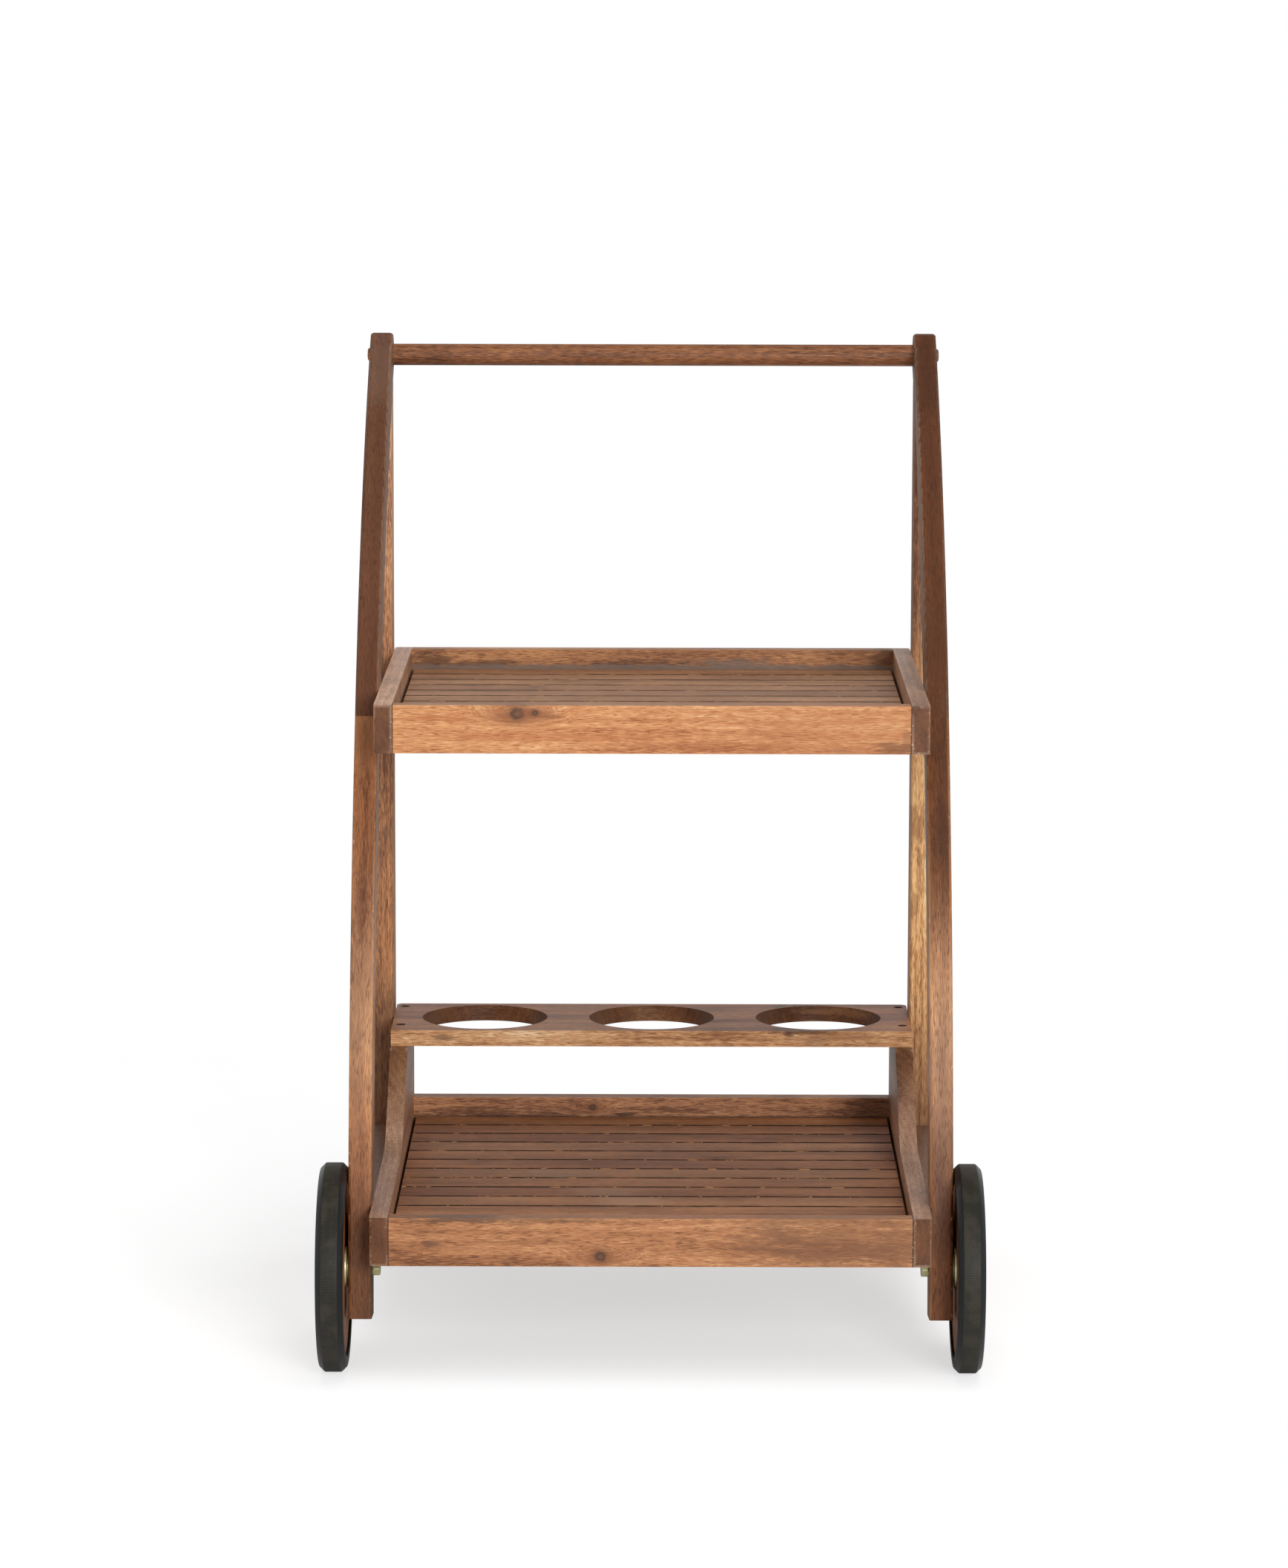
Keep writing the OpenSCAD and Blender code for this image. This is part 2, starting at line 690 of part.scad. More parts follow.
for (s = sides) {
    front_leg_lower(s);
    front_leg_upper(s);
    rear_leg(s);
    stretcher(s);
    lower_side_rail(s);
    upper_side_rail(s);
    tyre(s);
    wheel_disc(s);
    hub(s);
}
handle_bar();
handle_bolts();
frame_bolts();
threaded_inserts();
dowels();
front_rail(lower_tray);  // lower_tray_front_rail
rear_rail(lower_tray);  // lower_tray_rear_rail
battens(lower_tray);  // lower_tray_battens
front_rail(upper_tray);  // upper_tray_front_rail
rear_rail(upper_tray);  // upper_tray_rear_rail
battens(upper_tray);  // upper_tray_battens
for (i = [1:lower_slats])
    slat(lower_tray, i);
for (i = [1:upper_slats])
    slat(upper_tray, i);
tray_screws();
bottle_board();
board_screws();
axle_bolts();
axle_nuts();
axle_washers();
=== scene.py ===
import math

import bpy
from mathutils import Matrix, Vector


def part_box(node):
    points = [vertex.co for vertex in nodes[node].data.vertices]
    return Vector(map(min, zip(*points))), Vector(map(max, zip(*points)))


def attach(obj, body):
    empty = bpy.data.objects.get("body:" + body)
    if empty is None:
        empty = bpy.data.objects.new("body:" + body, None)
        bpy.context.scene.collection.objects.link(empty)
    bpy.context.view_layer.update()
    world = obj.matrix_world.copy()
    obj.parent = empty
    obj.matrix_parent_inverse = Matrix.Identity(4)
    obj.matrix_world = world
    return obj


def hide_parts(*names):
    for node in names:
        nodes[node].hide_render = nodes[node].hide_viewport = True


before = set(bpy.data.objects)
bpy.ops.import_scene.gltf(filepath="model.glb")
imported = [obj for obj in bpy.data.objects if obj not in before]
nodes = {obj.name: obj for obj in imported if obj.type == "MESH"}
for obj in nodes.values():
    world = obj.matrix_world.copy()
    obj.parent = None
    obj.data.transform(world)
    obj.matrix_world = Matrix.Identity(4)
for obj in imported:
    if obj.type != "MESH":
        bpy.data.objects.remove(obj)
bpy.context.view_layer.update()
sides = {"left": -1, "right": 1}
mm = 0.001

# Sizes of the pieces made here, in metres
leg_low, leg_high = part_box("right_rear_leg")
leg_t, leg_w = leg_high.x - leg_low.x, leg_high.y - leg_low.y
leg_middle_y = (leg_low.y + leg_high.y) / 2
rail_x = leg_low.x
rail_h, bolt_spread = 41 * mm, 10 * mm
upper_slats, lower_slats = 10, 13

tyre_low, tyre_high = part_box("right_tyre")
wheel_r = (tyre_high.z - tyre_low.z) / 2
wheel_x = (tyre_low.x + tyre_high.x) / 2
axle = Vector((0, (tyre_low.y + tyre_high.y) / 2, wheel_r))
tyre_w, tyre_shoulder, tyre_t = tyre_high.x - tyre_low.x, 4.5 * mm, 13 * mm
tread_w, tread_pitch = tyre_w - 2 * tyre_shoulder, 2.2 * mm
tread_round, shoulder_round = 0.6 * mm, 0.7 * mm
wall_land, groove_slope, groove_floor = 2.2 * mm, 0.5 * mm, 1 * mm
disc_low, disc_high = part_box("right_wheel_disc")
disc_t, disc_r, disc_round, disc_fit = disc_high.x - disc_low.x, wheel_r - tyre_t, 1.5 * mm, 0.05 * mm
hub_low, hub_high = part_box("right_hub")
flange_d, tube_d, axle_d, axle_bore_d = hub_high.z - hub_low.z, 14 * mm, 8 * mm, 8.4 * mm
flange_t, flange_rim, flange_round = (hub_high.x - hub_low.x - disc_t) / 2, 4.2 * mm, 0.7 * mm
dish_slope, dish_depth = 0.6 * mm, 0.5 * mm

axle_head_d, axle_head_h, axle_dome = 20 * mm, 4 * mm, 3.2 * mm
nut_h, nut_af, nut_chamfer = 6.5 * mm, 13 * mm, 0.9 * mm
button_d, button_h, button_dome, socket_af = 12 * mm, 3 * mm, 2.3 * mm, 4 * mm
shank_d, frame_bolt_l, handle_bolt_l = 6 * mm, 27 * mm, 20 * mm
screw_head_d, screw_head_h, screw_d, screw_sunk = 8.5 * mm, 2 * mm, 4 * mm, 1 * mm
screw_low, screw_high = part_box("board_screws")
screw_x = screw_high.x - screw_head_d / 2
screw_ys = (screw_low.y + screw_head_d / 2, screw_high.y - screw_head_d / 2)

# The front legs' arcs leave their joint at its lean, one through the axle and one through the handle.
# The lean, and how far the joint lies behind the upper tray's front, are those of the part.
handle_low, handle_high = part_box("handle_bar")
handle = Vector((0, (handle_low.y + handle_high.y) / 2, (handle_low.z + handle_high.z) / 2))
joint_lean, joint_back = math.radians(31), 103.5 * mm
joint = Vector((0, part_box("upper_tray_right_rail")[0].y + joint_back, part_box("right_front_leg_lower")[1].z))


def leg_arc(through):
    """Centre's y and z, and radius, of a front leg's arc."""
    inward = Vector((0, math.cos(joint_lean), -math.sin(joint_lean)))
    chord = through - joint
    radius = chord.length_squared / (2 * chord.dot(inward))
    centre = joint + radius * inward
    return centre.y, centre.z, radius


lower_arc, upper_arc = leg_arc(axle), leg_arc(handle)


def colour(code):
    """A six-digit colour code as linear red, green, blue and alpha."""
    parts = [int(code[i:i + 2], 16) / 255 for i in (0, 2, 4)]
    return [p / 12.92 if p < 0.04045 else ((p + 0.055) / 1.055) ** 2.4 for p in parts] + [1]


# Node helpers

def put(tree, kind, feeds=(), **settings):
    """Adds a node, with its settings, and links or sets its inputs."""
    made = tree.nodes.new(kind)
    for name, value in settings.items():
        setattr(made, name, value)
    for key, value in (feeds.items() if isinstance(feeds, dict) else enumerate(feeds)):
        if isinstance(value, bpy.types.NodeSocket):
            tree.links.new(value, made.inputs[key])
        elif value is not None:
            made.inputs[key].default_value = value
    return made


def sums(tree, operation, *feeds):
    return put(tree, "ShaderNodeMath", feeds, operation=operation).outputs[0]


def plus(tree, first, second):
    return sums(tree, "ADD", first, second)


def minus(tree, first, second):
    return sums(tree, "SUBTRACT", first, second)


def times(tree, first, second):
    return sums(tree, "MULTIPLY", first, second)


def vectors(tree, operation, *feeds):
    made = put(tree, "ShaderNodeVectorMath", feeds, operation=operation)
    return made.outputs["Value" if operation in ("LENGTH", "DOT_PRODUCT") else "Vector"]


def combine(tree, *parts):
    return put(tree, "ShaderNodeCombineXYZ", parts).outputs[0]


def split(tree, vector):
    return put(tree, "ShaderNodeSeparateXYZ", [vector]).outputs


def ramp(tree, value, low, high):
    """0 below low and 1 above high, smooth in between."""
    return put(tree, "ShaderNodeMapRange", {"Value": value, "From Min": low, "From Max": high},
               interpolation_type="SMOOTHSTEP").outputs[0]


def blend(tree, share, first, second):
    return put(tree, "ShaderNodeMix", {0: share, 6: first, 7: second}, data_type="RGBA").outputs[2]


def noise(tree, where, scale, detail=2.0, rough=0.5):
    return put(tree, "ShaderNodeTexNoise",
               {"Vector": where, "Scale": scale, "Detail": detail, "Roughness": rough}).outputs[0]


def new_group(name, feeds, results):
    group = bpy.data.node_groups.new(name, "ShaderNodeTree")
    for label, kind in feeds:
        group.interface.new_socket(label, in_out="INPUT", socket_type="NodeSocket" + kind)
    for label, kind in results:
        group.interface.new_socket(label, in_out="OUTPUT", socket_type="NodeSocket" + kind)
    return group, group.nodes.new("NodeGroupInput").outputs, group.nodes.new("NodeGroupOutput").inputs


# Oiled acacia

def acacia_grain():
    """Wood whose Grain coordinate runs along the fibres in x, and across them in y and z."""
    group, given, result = new_group(
        "acacia_grain",
        [("Grain", "Vector"), ("Seed", "Vector"), ("Pith", "Vector"), ("Dark", "Color"), ("Middle", "Color"),
         ("Light", "Color"), ("Bands", "Float"), ("Rings", "Float"), ("Flecks", "Float"), ("Stain", "Float"),
         ("Stained", "Color"), ("Arris", "Float"), ("Wear and highlight", "Float"), ("Worn and lit edge", "Color"), ("End", "Float"),
         ("Gloss", "Float")],
        [("Color", "Color"), ("Roughness", "Float"), ("Height", "Float")])

    def swing(value, amount):
        return times(group, minus(group, value, 0.5), amount)

    here = vectors(group, "ADD", given["Grain"], given["Seed"])
    ripple = swing(noise(group, vectors(group, "MULTIPLY", here, (0.4, 1, 1)), 24, 2), 0.006)
    here = vectors(group, "ADD", here, combine(group, 0.0, ripple, ripple))

    def drawn(along, across=1.0):
        return vectors(group, "MULTIPLY", here, (along, across, across))

    band = noise(group, drawn(0.16), 30, 2, 0.5)
    figure = noise(group, drawn(1.0, 0.35), 40, 2, 0.5)
    ring_at = vectors(group, "ADD", vectors(group, "MULTIPLY", given["Grain"], (0.13, 1, 1)), given["Pith"])
    ring_at = vectors(group, "ADD", ring_at, vectors(group, "MULTIPLY", given["Seed"], (0.13, 0, 0)))
    ring = put(group, "ShaderNodeTexWave",
               {"Vector": ring_at, "Scale": 60.0, "Distortion": 6.0, "Detail": 2.0, "Detail Scale": 0.7},
               wave_type="RINGS", rings_direction="X").outputs[1]
    streak = noise(group, drawn(0.05), 210, 3, 0.6)
    fleck = noise(group, drawn(0.1), 1000, 2, 0.6)
    fibre = noise(group, drawn(0.07), 1600, 2, 0.6)
    pore = ramp(group, noise(group, drawn(0.1), 1300, 0), 0.62, 0.72)
    chip = noise(group, drawn(0.5), 330, 2, 0.6)
    blotch = noise(group, drawn(0.4), 24, 4, 0.6)

    tone = plus(group, 0.5, swing(band, times(group, given["Bands"], 1.6)))
    tone = plus(group, tone, swing(figure, times(group, given["Bands"], 0.3)))
    tone = plus(group, tone, swing(ring, given["Rings"]))
    tone = plus(group, tone, swing(streak, times(group, given["Bands"], 0.55)))
    fine = plus(group, swing(fleck, 0.9), swing(fibre, 1.5))
    tone = plus(group, tone, times(group, fine, given["Flecks"]))
    shade = blend(group, ramp(group, tone, 0.0, 0.52), given["Dark"], given["Middle"])
    shade = blend(group, ramp(group, tone, 0.48, 1.0), shade, given["Light"])
    shade = blend(group, times(group, pore, 0.6), shade, given["Dark"])
    stained = ramp(group, plus(group, blotch, given["Stain"]), 0.58, 0.8)
    shade = blend(group, times(group, stained, 0.75), shade, given["Stained"])
    shade = blend(group, times(group, given["End"], 0.5), shade, given["Dark"])
    # Pale arrises: real wear, and on the side rails and legs also a painted highlight along the rounded edges.
    edge = put(group, "ShaderNodeMapRange",
               {"Value": given["Arris"], "From Min": 2.6 * mm, "From Max": 0.8 * mm}).outputs[0]
    rubbed_and_lit = times(group, times(group, edge, ramp(group, blotch, 0.35, 0.65)), 0.5)
    chipped = times(group, edge, ramp(group, chip, 0.60, 0.66))
    worn = times(group, sums(group, "MAXIMUM", rubbed_and_lit, chipped), given["Wear and highlight"])
    shade = blend(group, worn, shade, given["Worn and lit edge"])
    rough = plus(group, given["Gloss"], swing(fleck, 0.25))
    rough = plus(group, rough, times(group, stained, 0.06))
    high = minus(group, swing(fibre, 0.8), times(group, pore, 0.8))
    high = plus(group, high, swing(fleck, 0.8))
    for label, value in (("Color", shade), ("Roughness", rough), ("Height", high)):
        group.links.new(value, result[label])
    return group


def box_arris():
    """Distance to a box's nearest arris, which is the middle one of those to its three pairs of faces."""
    group, given, result = new_group(
        "box_arris", [("Out", "Vector"), ("Half", "Vector")], [("Arris", "Float")])
    deep = vectors(group, "SUBTRACT", given["Half"], vectors(group, "ABSOLUTE", given["Out"]))
    x, y, z = split(group, deep)
    least, most = sums(group, "MINIMUM", x, y), sums(group, "MAXIMUM", x, y)
    group.links.new(sums(group, "MAXIMUM", least, sums(group, "MINIMUM", most, z)), result["Arris"])
    return group


grain_group = acacia_grain()
arris_group = box_arris()


def start_material(name):
    made = bpy.data.materials.new(name)
    made.use_nodes = True
    made.node_tree.nodes.clear()
    return made, made.node_tree


def finish_material(tree, feeds):
    shader = put(tree, "ShaderNodeBsdfPrincipled", feeds)
    put(tree, "ShaderNodeOutputMaterial", [shader.outputs[0]])


class Board:
    """A board's material in the making, with its box and the coordinates on its faces."""

    def __init__(self, name):
        low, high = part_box(name)
        self.middle, self.half = (low + high) / 2, (high - low) / 2
        self.material, self.tree = start_material(name + "_finish")
        spot = put(self.tree, "ShaderNodeTexCoord").outputs
        self.here, self.normal = spot["Object"], spot["Normal"]
        self.out = vectors(self.tree, "SUBTRACT", self.here, tuple(self.middle))
        self.x, self.y, self.z = split(self.tree, self.out)

    def height(self, z):
        """Height z of the cart, counted from the board's middle."""
        return z - self.middle.z


def straight_grain(board, along):
    """Grain coordinates of a straight board, distance to its nearest arris and share of end grain."""
    tree, x, y, z = board.tree, board.x, board.y, board.z
    order = {"x": (x, y, z), "y": (y, x, z), "z": (z, x, y)}[along]
    arris = put(tree, "ShaderNodeGroup", {"Out": board.out, "Half": tuple(board.half)}, node_tree=arris_group)
    way = {"x": (1, 0, 0), "y": (0, 1, 0), "z": (0, 0, 1)}[along]
    facing = sums(tree, "ABSOLUTE", vectors(tree, "DOT_PRODUCT", board.normal, way))
    return combine(tree, *order), arris.outputs[0], ramp(tree, facing, 0.6, 0.95)


def curved_grain(board, arc):
    """The same three for a curved leg, whose fibres follow its arc."""
    tree = board.tree
    turn_y, turn_z, radius = arc
    x, y, z = split(tree, vectors(tree, "SUBTRACT", board.here, (board.middle.x, turn_y, turn_z)))
    offset = minus(tree, vectors(tree, "LENGTH", combine(tree, 0.0, y, z)), radius)
    turn = times(tree, sums(tree, "ARCTAN2", z, times(tree, y, -1)), radius)
    side_out = minus(tree, leg_t / 2, sums(tree, "ABSOLUTE", x))
    face_out = minus(tree, leg_w / 2, sums(tree, "ABSOLUTE", offset))
    return combine(tree, turn, offset, x), sums(tree, "MAXIMUM", side_out, face_out), 0.0


def knot_shades(board, grain, knots):
    """The grain, swelling round the knots, and the knots' shades."""
    tree, shades = board.tree, []
    for knot_x, knot_z, size in knots:
        away = vectors(tree, "SUBTRACT", board.here, (knot_x, 0, knot_z))
        core = vectors(tree, "LENGTH", vectors(tree, "MULTIPLY", away, (0.85, 0, 1)))
        swell = vectors(tree, "LENGTH", vectors(tree, "MULTIPLY", away, (0.3, 0, 1)))
        lift = times(tree, ramp(tree, swell, size * 3.5, 0.0), size * 1.6)
        grain = vectors(tree, "ADD", grain, combine(tree, 0.0, lift, lift))
        rim = noise(tree, vectors(tree, "MULTIPLY", away, (0.6, 1, 1)), 420, 3)
        core = plus(tree, core, times(tree, minus(tree, rim, 0.5), size * 0.9))
        halo = times(tree, ramp(tree, swell, size * 3.2, size * 0.3), 0.6)
        ringed = times(tree, ramp(tree, core, size * 3.0, size * 0.9), 0.5)
        heart = times(tree, ramp(tree, core, size * 1.35, size * 0.7), 0.8)
        hoop_in = times(tree, ramp(tree, core, size * 0.3, size * 0.75), heart)
        shades += [(halo, "8a5334"), (ringed, "6b4128"), (heart, "644736"),
                   (times(tree, hoop_in, 0.6), "35231a")]
    return grain, shades


def mark_shades(board, along, marks):
    """Stains, scuffs and a few patches of painted light and shade, with ragged rims, drawn out along the
    fibres.
    """
    tree, shades = board.tree, []
    streaky = (0.2, 1, 1) if along == "x" else (1, 1, 0.2)
    rim = noise(tree, vectors(tree, "MULTIPLY", board.here, streaky), 330, 4, 0.65)
    rim = times(tree, minus(tree, rim, 0.5), 3.2)
    for mark_x, mark_z, wide, tall, code, strength in marks:
        away = vectors(tree, "SUBTRACT", board.here, (mark_x, 0, mark_z))
        reach = vectors(tree, "LENGTH", vectors(tree, "MULTIPLY", away, (1 / wide, 0, 1 / tall)))
        share = ramp(tree, plus(tree, reach, rim), 1.35, 0.45)
        shades.append((times(tree, share, strength), code))
    return shades


def bore_mask(board):
    """Faces inside holes: upright, and away from the board's own edges."""
    tree = board.tree
    inside = [sums(tree, "LESS_THAN", sums(tree, "ABSOLUTE", v), reach - 2 * mm)
              for v, reach in ((board.x, board.half.x), (board.y, board.half.y))]
    upright = sums(tree, "LESS_THAN", sums(tree, "ABSOLUTE", split(tree, board.normal)[2]), 0.6)
    return times(tree, upright, times(tree, *inside))


def pale_mask(board, height, spread, depth=None):
    """A paler stretch, only as deep as depth behind the near face where that is given."""
    tree = board.tree
    away = sums(tree, "ABSOLUTE", minus(tree, board.z, board.height(height)))
    pale = ramp(tree, away, spread, 0.0)
    if depth is None:
        return pale
    return times(tree, pale, ramp(tree, board.y, depth - board.half.y, -board.half.y))


def inner_mask(board):
    inward = times(board.tree, split(board.tree, board.normal)[0], -math.copysign(1, board.middle.x))
    return ramp(board.tree, inward, 0.5, 0.9)


def painted_slat_edge_shade(board, seed):
    """Painted shade on a slat's rounded edges and in a band beside them, and pale chips along the edges that
    are partly wear and partly a painted highlight.
    """
    tree, top = board.tree, board.half.z
    drop = ramp(tree, board.z, top - 0.05 * mm, top - 0.4 * mm)
    run = vectors(tree, "MULTIPLY", vectors(tree, "ADD", board.out, (seed, seed, 0)), (1, 0.2, 0))
    broken = plus(tree, 0.45, times(tree, ramp(tree, noise(tree, run, 36, 2), 0.35, 0.55), 0.5))
    chips_and_highlights = times(tree, ramp(tree, noise(tree, run, 62, 3, 0.7), 0.57, 0.63), drop)
    margin = minus(tree, board.half.y, sums(tree, "ABSOLUTE", board.y))
    shade_band = times(tree, ramp(tree, margin, 3.2 * mm, 0.4 * mm), broken)
    return [(times(tree, shade_band, 0.75), "3a2418"), (times(tree, drop, broken), "1c100a"),
            (times(tree, chips_and_highlights, 0.8), "d39a68")]


def foot_shades(board, height, depth, code, strength):
    """A darker band with an uneven upper edge along the foot of a rail."""
    tree = board.tree
    edge = noise(tree, vectors(tree, "MULTIPLY", board.out, (1, 0, 0)), 38, 4, 0.6)
    edge = plus(tree, board.z, times(tree, minus(tree, edge, 0.5), 2.2 * depth))
    foot = ramp(tree, edge, board.height(height) + 0.2 * depth, board.height(height) - 0.5 * depth)
    return [(times(tree, foot, strength), code)]


def screw_hole_painted_shade(board):
    """Painted shade in the holes round the board screws, fading out just past their rims."""
    tree, shades = board.tree, []
    x, y, z = split(tree, board.here)
    x = minus(tree, sums(tree, "ABSOLUTE", x), screw_x)
    for hole_y in screw_ys:
        away = vectors(tree, "LENGTH", combine(tree, x, minus(tree, y, hole_y), 0.0))
        dark_hole = ramp(tree, away, screw_head_d / 2 + 0.6 * mm, screw_head_d / 2 - 0.2 * mm)
        shades.append((times(tree, dark_hole, 0.85), "24150e"))
    return shades


def seam_shades(board):
    """Dark seams with pale specks at a rail's ends."""
    tree, end = board.tree, board.half.x
    near_end = ramp(tree, sums(tree, "ABSOLUTE", board.x), end - 1.6 * mm, end - 0.5 * mm)
    rough_end = noise(tree, vectors(tree, "MULTIPLY", board.out, (1, 0, 1)), 300, 2)
    return [(times(tree, near_end, 0.85), "241812"),
            (times(tree, near_end, ramp(tree, rough_end, 0.62, 0.68)), "d8b79a")]


def board_finish(name, along, tones, seed, bands=1.0, rings=0.15, flecks=1.0, stain=0.0, wear=0.6,
                 knots=(), arc=None, stained="5a4438", worn="d79a63", gloss=0.45, ior=1.33,
                 top=None, front=None, inner=None, paler=None, bored=None, shaded=None, marks=(),
                 creased=False, dirty=None, seams=False, screwed=False):
    """The finish of one wooden node. along is the way of its fibres: x, y, z or arc.

    top, front, inner and bored are the tones of its upper faces, near face, face towards the middle
    of the cart and holes, where they differ; the tones of the upper and inner faces are painted light
    and shade, and those of the holes painted shade.
    paler is the tones, height and half height of a paler stretch, and how deep it goes where that is
    limited; on the lower front legs it is a painted sheen. shaded is the height below which it is
    darker, and how much. knots and marks are places seen from the front: x and z, then a knot's
    radius, or a mark's half width, half height, colour and strength. creased gives a slat painted
    shade on its rounded edges and beside them, with pale chips that are partly wear and partly a
    painted highlight, dirty is the height, depth, colour and strength of a darker band along the
    foot of a rail, seams darkens its ends and screwed puts painted shade in its screw holes.
    """
    board = Board(name)
    tree = board.tree
    grain, arris, end = curved_grain(board, arc) if arc else straight_grain(board, along)
    grain, shades = knot_shades(board, grain, knots)
    if marks:
        shades += mark_shades(board, along, marks)
    masks = []
    # Upper faces take their own tones: painted light and shade, lighter or darker than the sides as the light
    # falls on them.
    if top:
        masks.append((ramp(tree, split(tree, board.normal)[2], 0.55, 0.9), top))
    if front:
        masks.append((sums(tree, "LESS_THAN", board.y, 1 * mm - board.half.y), front))
    # Faces towards the middle of the cart take their own tones: painted light on the sides the lamps fall on.
    if inner:
        masks.append((inner_mask(board), inner))
    # Hole walls take darker tones: painted shade.
    if bored:
        masks.append((bore_mask(board), bored))
    if paler:
        masks.append((pale_mask(board, *paler[1:]), paler[0]))
    dark, mid, light = (colour(c) for c in tones)
    for mask, other in masks:
        dark, mid, light = (blend(tree, mask, a, colour(b)) for a, b in zip((dark, mid, light), other))
    if shaded:
        height, strength = board.height(shaded[0]), shaded[1]
        under = ramp(tree, board.z, height + 0.04, height - 0.04)
        shades.append((times(tree, under, strength), "3a2418"))
    if creased:
        shades += painted_slat_edge_shade(board, seed)
    if dirty:
        shades += foot_shades(board, *dirty)
    if screwed:
        shades += screw_hole_painted_shade(board)
    if seams:
        shades += seam_shades(board)
    feeds = {"Grain": grain, "Seed": (seed * 1.37, seed * 0.61, seed * 0.23), "Pith": (0, 0.07, 0.03),
             "Dark": dark, "Middle": mid, "Light": light, "Bands": bands, "Rings": rings, "Flecks": flecks,
             "Stain": stain, "Stained": colour(stained), "Arris": arris, "Wear and highlight": wear, "Worn and lit edge": colour(worn),
             "End": end, "Gloss": gloss}
    wood = put(tree, "ShaderNodeGroup", feeds, node_tree=grain_group).outputs
    shade = wood["Color"]
    for share, code in shades:
        shade = blend(tree, share, shade, colour(code))
    bump = put(tree, "ShaderNodeBump", {"Strength": 0.5, "Distance": 0.0003, "Height": wood["Height"]})
    finish_material(tree, {"Base Color": shade, "Roughness": wood["Roughness"],
                           "Normal": bump.outputs[0], "IOR": ior})
    return board.material


def coat(piece, material):
    piece.data.materials.clear()
    piece.data.materials.append(material)


def dress(name, *finish, **settings):
    coat(nodes[name], board_finish(name, *finish, **settings))


# Tones of the boards, each dark, middle and light

near_rail = ("92522d", "c98958", "e7b37f")
lower_near_rail = ("70442a", "af764e", "d29b6d")
# Tops of the near rails, darker than their fronts: painted shade.
near_rail_top_painted_shade = ("704021", "9a6843", "b28860")
lower_near_rail_top_painted_shade = ("673e25", "a06b47", "c18d63")
far_rail = ("5d3b29", "9c6a47", "c18b5c")
lower_far_rail = ("754c35", "be8760", "e4aa75")
side_rail = ("674534", "9b6d50", "c28e6b")
side_front = ("522d19", "7e4e2c", "9b653c")
riser_tone = ("57341f", "85593a", "a97850")
# Inner faces of the side rails, lighter: painted light.
rail_inner_painted_light = ("7a5440", "ad7e60", "d09f7c")
# Tops of the side rails, lighter and greyer than their sides, with a different tone on each side: painted light
# and shade.
rail_top_painted_light = {"upper_left": ("8a6a57", "bd937a", "e0bca0"), "upper_right": ("705547", "9c765f", "bb9980"),
            "lower_left": ("7c5e4c", "ab8269", "ceaa8c"), "lower_right": ("846654", "b28a72", "d6b196")}
slat_tones = (("74503a", "9e7151", "b98a66"), ("6f4a34", "986c4c", "b48360"), ("7a5339", "a47650", "bf8f67"))
lower_slat_tones = (("74482d", "9e6842", "be8257"), ("6f4129", "97603c", "b77a50"),
                    ("795033", "a36e49", "c2895d"))
# Paler copies of the slat tones for the back slats: painted light where the bottle board shades them.
back_slat_painted_light = (("825235", "b2764d", "d49463"), ("7c4b30", "a96d46", "cd8a5d"),
                   ("885a3c", "b67d54", "da9a6b"))
front_slats = 7
scuffed_slats = (4, 5, 7)
upper_leg = {"left": ("482a1b", "663e29", "7e5337"), "right": ("442514", "60371f", "77492b")}
lower_leg = {"left": ("623821", "97603d", "c5824c"), "right": ("452313", "6a3f24", "8c5630")}
# A paler band across each lower front leg: a painted sheen where the leg's face turns to the lamp.
leg_painted_sheen = ("6e4932", "a57858", "cc976b")
leg_sheen_at = {"left": (0.31, 0.15), "right": (0.29, 0.145)}
# Inner faces of the front legs: painted light on their lit sides.
leg_inner_painted_light = ("5c3f2e", "83604a", "a68066")
rear_leg = ("744a33", "b57b51", "d39967")
rear_leg_top = ("90654b", "d9a47b", "f6c99d")
brown_rear_leg = ("5f3c28", "8f5f40", "ad7850")
right_rear_leg = ("a06c42", "e3ab72", "f3cd90")
handle_tone = ("53321f", "865537", "b1774b")
board_tone = ("7f5039", "ac704a", "cf905f")
# Walls of the bottle board's holes, darker: painted shade.
bored_painted_shade = ("563524", "744c31", "8f643e")
board_front_tone = ("8f5e3c", "d49e6d", "f6d3a7")
stretcher_tone = ("5f4434", "7b5a45", "94705a")
beech_tone = ("b08a5c", "c7a273", "d9b98a")

# Finishes of the boards. The places of knots and marks are in metres, seen from the front

dress("upper_tray_front_rail", "x", near_rail, 1.3, bands=0.6, flecks=0.9, rings=0.2, wear=0.3, seams=True,
      top=near_rail_top_painted_shade,
      knots=((-0.1137, 0.5534, 0.0046), (-0.0985, 0.5540, 0.0022)),
      marks=((-0.0836, 0.5505, 0.012, 0.0016, "8a5738", 0.6), (-0.1269, 0.5502, 0.006, 0.003, "8f5a3a", 0.5),
             (-0.0993, 0.5331, 0.11, 0.0035, "b0693d", 0.5), (-0.1745, 0.5505, 0.03, 0.004, "b0693d", 0.5),
             (0.2060, 0.5245, 0.02, 0.005, "54382a", 0.75), (0.2150, 0.5340, 0.005, 0.010, "6d4630", 0.5),
             (0.04, 0.5262, 0.09, 0.003, "a8683f", 0.4), (0.16, 0.5410, 0.12, 0.03, "a8683f", 0.4)))
